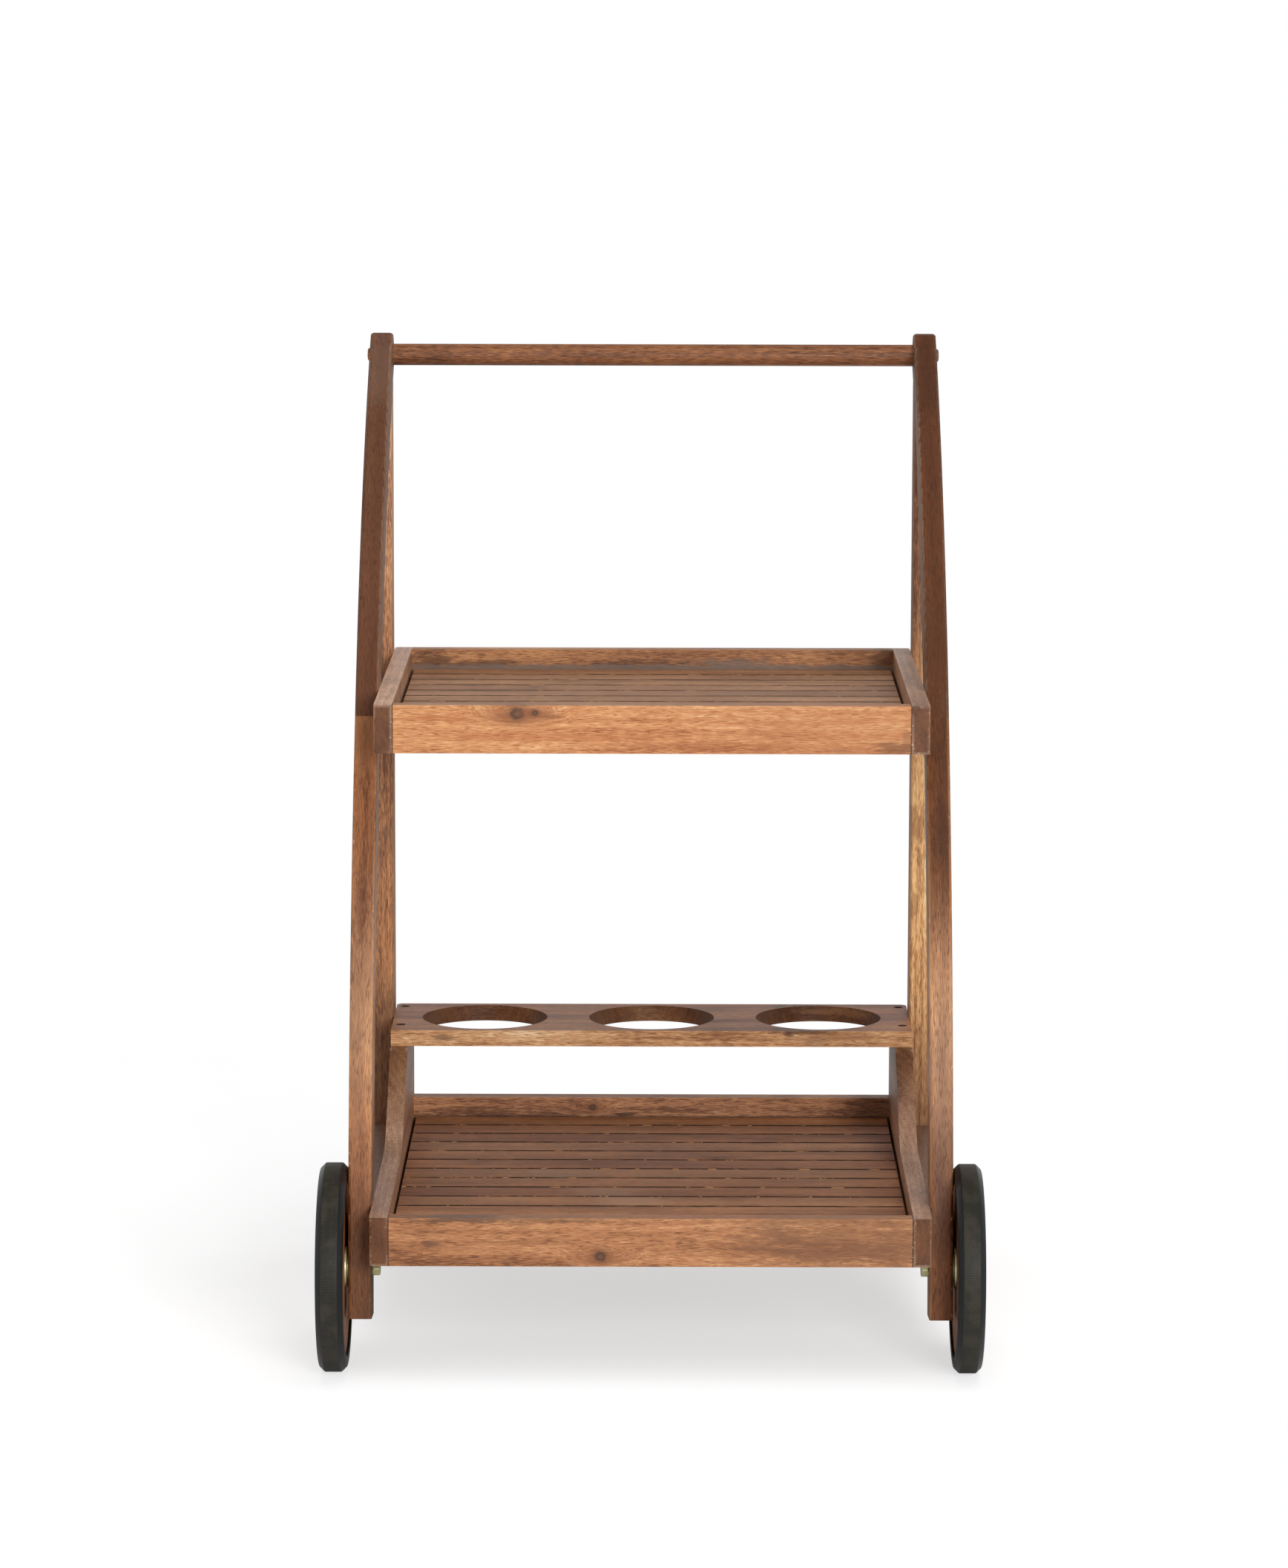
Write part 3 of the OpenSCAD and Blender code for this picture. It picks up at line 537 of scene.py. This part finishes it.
dress("lower_tray_front_rail", "x", lower_near_rail, 2.9, bands=0.85, flecks=0.85, rings=0.2, wear=0.3,
      top=lower_near_rail_top_painted_shade, seams=True,
      knots=((-0.0419, 0.1116, 0.0038),),
      marks=((-0.1603, 0.1427, 0.05, 0.0026, "5b4234", 0.75), (-0.0735, 0.1422, 0.05, 0.0018, "6b4a36", 0.6),
             (-0.1839, 0.1224, 0.007, 0.0034, "6b4836", 0.7), (0.1219, 0.1275, 0.04, 0.008, "7d5237", 0.5),
             (0.1561, 0.1157, 0.05, 0.008, "6f4732", 0.6), (0.2040, 0.1200, 0.02, 0.016, "7a5138", 0.4),
             (0.1600, 0.1240, 0.10, 0.03, "80573c", 0.5)))
dress("upper_tray_rear_rail", "x", far_rail, 4.1, bands=1.2, dirty=(0.5472, 0.004, "75645a", 0.8),
      marks=((-0.2000, 0.5500, 0.022, 0.009, "4c2f20", 0.7), (-0.1476, 0.5477, 0.03, 0.003, "4c2f20", 0.6),
             (0.0762, 0.5485, 0.04, 0.004, "75645a", 0.7), (0.2119, 0.5539, 0.014, 0.012, "4c2f20", 0.6)))
dress("lower_tray_rear_rail", "x", lower_far_rail, 5.7, bands=1.1, dirty=(0.1275, 0.003, "4a2e20", 0.7),
      knots=((-0.0546, 0.1347, 0.0026),),
      marks=((-0.0271, 0.1280, 0.012, 0.002, "2e1c14", 0.8), (-0.0910, 0.1290, 0.008, 0.002, "2e1c14", 0.7),
             (0.2000, 0.1361, 0.022, 0.012, "5c3a28", 0.5), (-0.1600, 0.1300, 0.05, 0.004, "5c3a28", 0.5)))
# The side rails' pale arrises are partly a painted highlight along their rounded edges.
for k, tray in enumerate(("upper", "lower")):
    for side in sides:
        dress(f"{tray}_tray_{side}_rail", "y", side_rail, 6.3 + k + sides[side] * 0.4, wear=0.7, stain=0.03,
              top=rail_top_painted_light[f"{tray}_{side}"], front=side_front, inner=rail_inner_painted_light, worn="cfae93", ior=1.38,
              paler=(riser_tone, 0.21, 0.07) if tray == "lower" else None)
for i in range(1, upper_slats + 1):
    dress(f"upper_tray_slat_{i}", "x", slat_tones[i % 3], 10 + i * 0.77, wear=0.0, stain=0.02, creased=True,
          gloss=0.5, ior=1.3)
for i in range(1, lower_slats + 1):
    # The back slats take the paler tones, which are painted light.
    slat_shades = lower_slat_tones if i <= front_slats else back_slat_painted_light
    scuff = (0.0600 - 0.0200 * i, 0.1260, 0.030, 0.003, "b8957a", 0.3)
    dress(f"lower_tray_slat_{i}", "x", slat_shades[i * 5 % 3], 30 + i * 0.71, wear=0.0, stain=0.02,
          creased=True, gloss=0.5, ior=1.3, marks=(scuff,) if i in scuffed_slats else ())
dress("upper_tray_battens", "y", side_rail, 45.1)
dress("lower_tray_battens", "y", side_rail, 46.2)
for side in sides:
    # The legs' pale arrises are partly a painted highlight along their rounded edges.
    dress(f"{side}_front_leg_upper", "arc", upper_leg[side], 50 + sides[side] * 0.9, arc=upper_arc, bands=0.5,
          flecks=0.45, wear=0.5, worn="b08868", ior=1.27, inner=leg_inner_painted_light,
          marks=((-0.2450, 0.7400, 0.02, 0.06, "4a2a1a", 0.4),
                 (0.2450, 0.8150, 0.02, 0.04, "3a2014", 0.45),
                 (-0.2450, 0.8200, 0.02, 0.03, "70594b", 0.4),
                 (0.2460, 0.5900, 0.02, 0.05, "4a2a1a", 0.4)))
    dress(f"{side}_front_leg_lower", "arc", lower_leg[side], 53 + sides[side] * 0.9, arc=lower_arc, bands=0.9,
          flecks=0.65, wear=0.8, worn="e0a068", stain=0.03, stained="4f3020", gloss=0.4, ior=1.3,
          # The paler band on these legs is a painted sheen.
          paler=(leg_painted_sheen, *leg_sheen_at[side]), inner=leg_inner_painted_light, shaded=(0.15, 0.65 if side == "left" else 0.0),
          marks=((0.2465, 0.4500, 0.007, 0.024, "4a2a1a", 0.6),
                 (-0.2465, 0.3900, 0.006, 0.03, "5c3420", 0.45),
                 # The next two marks are painted light: painted shadow beside the upper tray's end block on the
                 # right leg, and a paler patch on the left leg where that block's shadow falls.
                 (0.2470, 0.5250, 0.020, 0.02, "3a2014", 0.35),
                 (-0.2470, 0.5200, 0.020, 0.03, "a9744c", 0.35)))
    dress(f"{side}_stretcher", "y", stretcher_tone, 59 + sides[side] * 0.9)
dress("left_rear_leg", "z", rear_leg, 55.1, flecks=1.3, stain=0.05, shaded=(0.25, 0.55),
      paler=(rear_leg_top, 0.8, 0.3))
dress("right_rear_leg", "z", brown_rear_leg, 56.9, flecks=1.3, rings=0.3, stain=0.0, shaded=(0.2, 0.3),
      paler=(right_rear_leg, 0.34, 0.3, 18 * mm),
      marks=((0.2400, 0.4050, 0.010, 0.020, "8a5c34", 0.6), (0.2380, 0.3300, 0.006, 0.012, "8a5c34", 0.5),
             (0.2440, 0.3720, 0.003, 0.016, "7d5430", 0.5), (0.2450, 0.3484, 0.002, 0.012, "7d5430", 0.5)))
dress("handle_bar", "x", handle_tone, 62.3, bands=0.9, flecks=1.1, wear=0.0)
dress("bottle_board", "x", board_tone, 64.8, bands=1.2, stain=0.04, wear=0.7, front=board_front_tone,
      bored=bored_painted_shade, screwed=True,
      marks=((-0.1895, 0.2217, 0.010, 0.0035, "6b482f", 0.6), (0.1350, 0.2268, 0.030, 0.0018, "5a3a26", 0.8),
             (0.1235, 0.2250, 0.005, 0.003, "5a3a26", 0.8), (0.1700, 0.2235, 0.030, 0.004, "a0714c", 0.5)))
dress("dowels", "x", beech_tone, 66.1)

# Metal, rubber and the wheels' wood


def metal_finish(name, base, tint, rough, metal=0.0):
    """Plated or painted metal: an uneven tone, patchy gloss and a fine uneven surface."""
    made, tree = start_material(name)
    where = put(tree, "ShaderNodeTexCoord").outputs["Object"]
    fine = noise(tree, where, 700.0, 3)
    broad = noise(tree, where, 60.0, 3)
    shade = blend(tree, ramp(tree, broad, 0.35, 0.68), colour(base), colour(tint))
    shade = blend(tree, times(tree, fine, 0.15), shade, (0.02, 0.02, 0.02, 1))
    gloss = plus(tree, rough - 0.08, times(tree, broad, 0.16))
    relief = put(tree, "ShaderNodeBump", {"Strength": 0.2, "Distance": 0.0002, "Height": fine})
    finish_material(tree, {"Base Color": shade, "Roughness": gloss, "Metallic": metal,
                           "Normal": relief.outputs[0]})
    return made


zinc = metal_finish("yellow_zinc_finish", "e6dea6", "d0cf9f", 0.36, 0.6)
steel = metal_finish("plain_steel_finish", "b0b0ac", "8d8d8a", 0.32, 1.0)
copper = metal_finish("copper_plate_finish", "cd8a60", "9c6340", 0.27, 1.0)
brown_bolt = metal_finish("brown_bolt_finish", "7d5138", "6a432e", 0.45)
dark_screw = metal_finish("dark_screw_finish", "6e6258", "3a302a", 0.35, 1.0)


def tyre_finish(side):
    """Black rubber with a dusty tint and a fine herringbone tread, drawn by colour and bump."""
    low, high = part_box(f"{side}_tyre")
    middle = (low + high) / 2
    made, tree = start_material(f"{side}_tyre_finish")
    where = put(tree, "ShaderNodeTexCoord").outputs["Object"]
    x, y, z = split(tree, vectors(tree, "SUBTRACT", where, tuple(middle)))
    reach = vectors(tree, "LENGTH", combine(tree, 0.0, y, z))
    arc = times(tree, sums(tree, "ARCTAN2", z, y), wheel_r)
    bend = sums(tree, "PINGPONG", plus(tree, x, 1.0), tread_w / 4)
    wave = sums(tree, "SINE", times(tree, plus(tree, arc, bend), 2 * math.pi / tread_pitch))
    on_tread = times(tree, sums(tree, "GREATER_THAN", reach, wheel_r - 1.2 * mm),
                     sums(tree, "LESS_THAN", sums(tree, "ABSOLUTE", x), tread_w / 2))
    groove = times(tree, ramp(tree, wave, -0.5, 0.5), on_tread)
    dust = noise(tree, where, 60.0, 4, 0.6)
    speck = ramp(tree, noise(tree, where, 900.0, 2), 0.7, 0.78)
    shade = blend(tree, ramp(tree, dust, 0.42, 0.62), colour("0f0f0f"), colour("2b2822"))
    shade = blend(tree, times(tree, groove, 0.5), shade, colour("4b4637"))
    shade = blend(tree, on_tread, colour("121416"), shade)
    shade = blend(tree, times(tree, speck, 0.25), shade, colour("8a877a"))
    height = plus(tree, groove, times(tree, dust, 0.4))
    relief = put(tree, "ShaderNodeBump", {"Strength": 0.6, "Distance": 0.0004, "Height": height})
    matt = plus(tree, 0.15, times(tree, on_tread, 0.3))
    gloss = plus(tree, 0.3, times(tree, dust, matt))
    finish_material(tree, {"Base Color": shade, "Roughness": gloss, "Normal": relief.outputs[0], "IOR": 1.35})
    return made


def disc_finish(side):
    """The finish of a wooden disc, its grain upright at rest."""
    return board_finish(f"{side}_wheel_disc", "z", lower_leg["left"], 70 + sides[side] * 1.3, wear=0.0)


# Modelling helpers

def only(piece):
    bpy.ops.object.select_all(action="DESELECT")
    piece.select_set(True)
    bpy.context.view_layer.objects.active = piece


def start_cylinder(name, d, h, corners, at=(0, 0, 0)):
    bpy.ops.object.select_all(action="DESELECT")
    bpy.ops.mesh.primitive_cylinder_add(vertices=corners, radius=d / 2, depth=h, location=at)
    piece = bpy.context.object
    piece.name = name
    bpy.ops.object.transform_apply(location=True, rotation=True, scale=True)
    return piece


def pick(piece, test, kind="FACE"):
    """Opens the piece in edit mode with only what passes the test selected."""
    only(piece)
    bpy.ops.object.mode_set(mode="EDIT")
    bpy.ops.mesh.select_mode(type=kind)
    bpy.ops.mesh.select_all(action="DESELECT")
    bpy.ops.object.mode_set(mode="OBJECT")
    for part in (piece.data.polygons if kind == "FACE" else piece.data.edges):
        part.select = bool(test(part))
    bpy.ops.object.mode_set(mode="EDIT")


def done():
    bpy.ops.object.mode_set(mode="OBJECT")


def cap(z):
    """Picks the flat face across the axis at height z, and not the rings round it."""
    def test(face):
        return abs(face.normal.z) > 0.9 and abs(face.center.z - z) < 1e-5 and face.center.xy.length < 1e-4
    return test


def hoop(piece, r, z):
    """Picks the edges of the circle of radius r at height z."""
    def test(edge):
        ends = [piece.data.vertices[v].co for v in edge.vertices]
        return all(abs(e.xy.length - r) < 1e-5 and abs(e.z - z) < 1e-5 for e in ends)
    return test


def round_hoop(piece, r, z, width, steps=3):
    pick(piece, hoop(piece, r, z), "EDGE")
    bpy.ops.mesh.bevel(offset=width, segments=steps, affect="EDGES")
    done()


def step_cap(piece, z, inset, lift):
    """Insets the cap at height z, then moves the inner face by lift."""
    pick(piece, cap(z))
    bpy.ops.mesh.inset(thickness=inset)
    if lift:
        bpy.ops.transform.translate(value=(0, 0, lift))
    done()


def cut(piece, tool, way="DIFFERENCE"):
    only(piece)
    change = piece.modifiers.new("cut", "BOOLEAN")
    change.operation = way
    change.object = tool
    change.solver = "EXACT"
    bpy.ops.object.modifier_apply(modifier=change.name)
    bpy.data.objects.remove(tool)


def join(pieces, name):
    only(pieces[0])
    for piece in pieces:
        piece.select_set(True)
    bpy.ops.object.join()
    pieces[0].name = name
    return pieces[0]


def smooth(piece, angle=35):
    only(piece)
    bpy.ops.object.mode_set(mode="EDIT")
    bpy.ops.mesh.select_all(action="SELECT")
    bpy.ops.mesh.normals_make_consistent(inside=False)
    bpy.ops.object.mode_set(mode="OBJECT")
    bpy.ops.object.shade_smooth_by_angle(angle=math.radians(angle))


def place(pattern, name, at, side="right", upright=False):
    """A copy of the pattern, with its own mesh: its z runs outwards along X, or up."""
    piece = pattern.copy()
    piece.data = pattern.data.copy()
    bpy.context.scene.collection.objects.link(piece)
    piece.name = name
    piece.location = at
    if not upright:
        piece.rotation_euler = (0, sides[side] * math.pi / 2, 0)
    only(piece)
    bpy.ops.object.transform_apply(location=True, rotation=True, scale=True)
    return piece


def on_both_sides(pattern, name, x, y, z):
    return [place(pattern, f"{side}_{name}", (way * x, y, z), side) for side, way in sides.items()]


def hand_over(piece, material, body, replaced):
    coat(piece, material)
    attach(piece, body)
    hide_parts(replaced)


# Wheels

def model_tyre():
    """Tyre with slanted shoulders, a ring groove in each wall and a bore for the disc."""
    piece = start_cylinder("tyre_pattern", 2 * wheel_r, tread_w, 120)
    slim = (wheel_r - tyre_shoulder) / wheel_r
    for way in (-1, 1):
        pick(piece, cap(way * tread_w / 2))
        bpy.ops.mesh.extrude_region_move(
            MESH_OT_extrude_region={"use_normal_flip": False},
            TRANSFORM_OT_translate={"value": (0, 0, way * tyre_shoulder)})
        bpy.ops.transform.resize(value=(slim, slim, 1), center_override=(0, 0, way * tyre_w / 2))
        done()
        z = way * tyre_w / 2
        step_cap(piece, z, wall_land, 0)
        step_cap(piece, z, groove_slope, -way * groove_slope)
        step_cap(piece, z - way * groove_slope, groove_floor, 0)
        step_cap(piece, z - way * groove_slope, groove_slope, way * groove_slope)
        groove_w = 2 * groove_slope + groove_floor
        step_cap(piece, z, wheel_r - tyre_shoulder - wall_land - groove_w - disc_r, 0)
    pick(piece, lambda f: abs(f.normal.z) > 0.9 and f.center.xy.length < 1e-4)
    bpy.ops.mesh.delete(type="FACE")
    done()
    seats = [hoop(piece, disc_r, way * tyre_w / 2) for way in (-1, 1)]
    pick(piece, lambda edge: any(seat(edge) for seat in seats), "EDGE")
    bpy.ops.mesh.bridge_edge_loops()
    done()
    for way in (-1, 1):
        round_hoop(piece, wheel_r, way * tread_w / 2, tread_round)
        round_hoop(piece, wheel_r - tyre_shoulder, way * tyre_w / 2, shoulder_round)
    smooth(piece)
    return piece


def model_disc():
    piece = start_cylinder("disc_pattern", 2 * (disc_r - disc_fit), disc_t, 96)
    for way in (-1, 1):
        round_hoop(piece, disc_r - disc_fit, way * disc_t / 2, disc_round)
    cut(piece, start_cylinder("bore", tube_d, 2 * disc_t, 32))
    smooth(piece)
    return piece


def model_hub():
    """Two flanges with rounded rims and a shallow dish on a tube, bored for the axle bolt."""
    piece = start_cylinder("hub_pattern", tube_d, disc_t + flange_t, 32)
    for way in (-1, 1):
        z = way * (disc_t + flange_t) / 2
        flange = start_cylinder("flange", flange_d, flange_t, 48, (0, 0, z))
        face = z + way * flange_t / 2
        round_hoop(flange, flange_d / 2, face, flange_round)
        step_cap(flange, face, flange_rim, 0)
        step_cap(flange, face, dish_slope, -way * dish_depth)
        cut(piece, flange, "UNION")
    cut(piece, start_cylinder("bore", axle_bore_d, 2 * disc_t, 32))
    smooth(piece)
    return piece


def model_button(head_d, head_h, dome, socket, shank, shank_l):
    """Bolt with a domed head, and a hexagon socket if it has one. Its seat is at z = 0."""
    head = start_cylinder("button", head_d, head_h, 40, (0, 0, head_h / 2))
    round_hoop(head, head_d / 2, head_h, dome, 6)
    if socket:
        depth = head_h * 0.6
        cut(head, start_cylinder("key", socket / math.cos(math.pi / 6), 2 * depth, 6, (0, 0, head_h)))
    stem = start_cylinder("stem", shank, shank_l, 24, (0, 0, -shank_l / 2))
    bolt = join([head, stem], "bolt")
    smooth(bolt)
    return bolt


def model_nut(across, h):
    """Hex nut, chamfered by what a turned blank leaves of it."""
    piece = start_cylinder("nut", across / math.cos(math.pi / 6), h, 6)
    blank_d = across * 1.12
    turned = start_cylinder("turned", blank_d, h, 48)
    for way in (-1, 1):
        round_hoop(turned, blank_d / 2, way * h / 2, nut_chamfer, 1)
    cut(piece, turned, "INTERSECT")
    smooth(piece, 25)
    return piece


def model_screw(head_d, head_h, shank, length):
    """Countersunk screw with a cross recess, its top at z = 0."""
    head = start_cylinder("screw", head_d, head_h, 40, (0, 0, -head_h / 2))
    pick(head, cap(-head_h))
    taper = shank / head_d
    bpy.ops.transform.resize(value=(taper, taper, 1), center_override=(0, 0, -head_h))
    bpy.ops.mesh.extrude_region_move(
        MESH_OT_extrude_region={"use_normal_flip": False},
        TRANSFORM_OT_translate={"value": (0, 0, head_h - length)})
    done()
    long, thin, deep = head_d * 0.6, head_d * 0.16, head_h * 1.4
    for slot_size in ((thin, long, deep), (long, thin, deep)):
        bpy.ops.object.select_all(action="DESELECT")
        bpy.ops.mesh.primitive_cube_add(size=1, location=(0, 0, 0))
        bar = bpy.context.object
        bar.scale = slot_size
        bpy.ops.object.transform_apply(location=True, rotation=True, scale=True)
        cut(head, bar)
    smooth(head)
    return head


tyre_pattern, disc_pattern, hub_pattern = model_tyre(), model_disc(), model_hub()
for side in sides:
    at = (sides[side] * wheel_x, axle.y, axle.z)
    body = f"{side}_wheel"
    hand_over(place(tyre_pattern, f"{side}_tread", at, side), tyre_finish(side), body,
              f"{side}_tyre")
    hand_over(place(disc_pattern, f"{side}_disc", at, side), disc_finish(side), body,
              f"{side}_wheel_disc")
    hand_over(place(hub_pattern, f"{side}_flanges", at, side), zinc, body, f"{side}_hub")


# Fasteners

axle_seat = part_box("axle_bolts")[1].x - axle_head_h
axle_pattern = model_button(axle_head_d, axle_head_h, axle_dome, 0, axle_d, axle_seat - rail_x + nut_h)
axle_bolts = join(on_both_sides(axle_pattern, "axle_bolt", axle_seat, axle.y, axle.z), "domed_axle_bolts")
hand_over(axle_bolts, zinc, "cart_frame", "axle_bolts")
nut_pattern = model_nut(nut_af, nut_h)
axle_nuts = join(on_both_sides(nut_pattern, "axle_nut", rail_x - nut_h / 2, axle.y, axle.z), "hex_axle_nuts")
hand_over(axle_nuts, zinc, "cart_frame", "axle_nuts")

handle_bolt_pattern = model_button(button_d, button_h, button_dome, socket_af, shank_d, handle_bolt_l)
for side, metal in (("left", copper), ("right", brown_bolt)):
    at = (sides[side] * (rail_x + leg_t), handle.y, handle.z)
    bolt = place(handle_bolt_pattern, f"{side}_handle_bolt", at, side)
    hand_over(bolt, metal, "cart_frame", "handle_bolts")


def leg_y(z):
    """Middle of the front leg at height z."""
    turn_y, turn_z, radius = lower_arc if z < joint.z else upper_arc
    return turn_y - math.sqrt(radius ** 2 - (z - turn_z) ** 2)


bolt_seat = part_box("frame_bolts")[1].x - button_h
frame_bolt_pattern = model_button(button_d, button_h, button_dome, socket_af, shank_d, frame_bolt_l)
frame_bolts = []
for tray in ("lower", "upper"):
    rail_low, rail_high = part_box(f"{tray}_tray_right_rail")
    rail_z = rail_high.z - rail_h / 2 if tray == "upper" else rail_low.z + rail_h / 2
    for z in (rail_z - bolt_spread, rail_z + bolt_spread):
        for y in (leg_y(z), leg_middle_y):
            frame_bolts += on_both_sides(frame_bolt_pattern, "frame_bolt", bolt_seat, y, z)
hand_over(join(frame_bolts, "frame_button_bolts"), copper, "cart_frame", "frame_bolts")

screw_top = screw_high.z - screw_sunk
screw_pattern = model_screw(screw_head_d - 2 * screw_sunk, screw_head_h, screw_d, screw_top - screw_low.z)
board_screws = [place(screw_pattern, "board_screw", (way * screw_x, y, screw_top), upright=True)
                for way in (-1, 1) for y in screw_ys]
board_screws = join(board_screws, "board_cross_screws")
hand_over(board_screws, dark_screw, "cart_frame", "board_screws")

for name, metal in (("axle_washers", zinc), ("threaded_inserts", steel), ("tray_screws", steel)):
    coat(nodes[name], metal)
for pattern in (tyre_pattern, disc_pattern, hub_pattern, axle_pattern, nut_pattern, handle_bolt_pattern,
                frame_bolt_pattern, screw_pattern):
    bpy.data.objects.remove(pattern)

# Floor, light and camera

floor_glow = 0.55
shadow_r, white_r = 0.7, 1.6
shadow_front_y, white_front_y = -0.1, -0.38


def floor_finish():
    """Pale paint round the cart that turns plain white for the camera ahead of it and further off."""
    made, tree = start_material("floor_finish")
    seen = put(tree, "ShaderNodeLightPath").outputs["Is Camera Ray"]
    ground = put(tree, "ShaderNodeTexCoord").outputs["Object"]
    paint = blend(tree, seen, colour("f4f4f4"), colour("d8d8d8"))
    matt = put(tree, "ShaderNodeBsdfDiffuse", [paint]).outputs[0]
    glow = put(tree, "ShaderNodeEmission", [(1, 1, 1, 1), times(tree, seen, floor_glow)]).outputs[0]
    near = put(tree, "ShaderNodeAddShader", [matt, glow]).outputs[0]
    white = put(tree, "ShaderNodeEmission", [(1, 1, 1, 1), 1.0]).outputs[0]
    ahead = ramp(tree, split(tree, ground)[1], shadow_front_y, white_front_y)
    away = ramp(tree, vectors(tree, "LENGTH", ground), shadow_r, white_r)
    far_off = times(tree, seen, sums(tree, "MAXIMUM", ahead, away))
    both = put(tree, "ShaderNodeMixShader", [far_off, near, white]).outputs[0]
    put(tree, "ShaderNodeOutputMaterial", [both])
    return made


bpy.ops.object.select_all(action="DESELECT")
bpy.ops.mesh.primitive_plane_add(size=60, location=(0, 0, 0))
floor = bpy.context.object
floor.name = "floor"
coat(floor, floor_finish())


def studio():
    """White for the camera, and for light a soft room that is darker overhead."""
    world = bpy.data.worlds.new("studio")
    world.use_nodes = True
    tree = world.node_tree
    tree.nodes.clear()
    path = put(tree, "ShaderNodeLightPath").outputs
    direct = sums(tree, "MAXIMUM", path["Is Glossy Ray"], path["Is Transmission Ray"])
    direct = sums(tree, "MAXIMUM", path["Is Camera Ray"], direct)
    height = split(tree, put(tree, "ShaderNodeTexCoord").outputs["Generated"])[2]
    wall = minus(tree, 1.0, times(tree, ramp(tree, height, 0.12, 0.6), 0.65))
    level = times(tree, wall, plus(tree, 0.8, times(tree, direct, 0.2)))
    level = sums(tree, "MAXIMUM", level, path["Is Camera Ray"])
    room = put(tree, "ShaderNodeBackground", [(1, 1, 1, 1), level]).outputs[0]
    put(tree, "ShaderNodeOutputWorld", [room])
    return world


def soft_box(name, at, aim, size, power):
    light = bpy.data.lights.new(name, "AREA")
    light.shape, light.size, light.energy = "SQUARE", size, power
    lamp = bpy.data.objects.new(name, light)
    bpy.context.scene.collection.objects.link(lamp)
    lamp.location = at
    lamp.rotation_euler = (Vector(aim) - Vector(at)).to_track_quat("-Z", "Y").to_euler()
    return lamp


bpy.context.scene.world = studio()
soft_box("top_box", at=(0.3, -0.6, 3.4), aim=(0, 0, 0.4), size=2.6, power=48).visible_glossy = False
soft_box("front_box", at=(1.3, -4.8, 1.6), aim=(0, 0, 0.5), size=1.6, power=122)

camera_at = (0.005, -4.7274, 1.1791)
camera_dip, camera_roll, camera_turn = 8.48, -0.002, 0.0028
camera_data = bpy.data.cameras.new("camera")
camera_data.sensor_width, camera_data.lens = 36, 126.28
camera_data.clip_end = 100
camera = bpy.data.objects.new("camera", camera_data)
bpy.context.scene.collection.objects.link(camera)
camera.location = camera_at
camera.rotation_euler = (math.radians(90 - camera_dip), camera_roll, camera_turn)
bpy.context.scene.camera = camera
bpy.context.scene.view_settings.view_transform = "Standard"
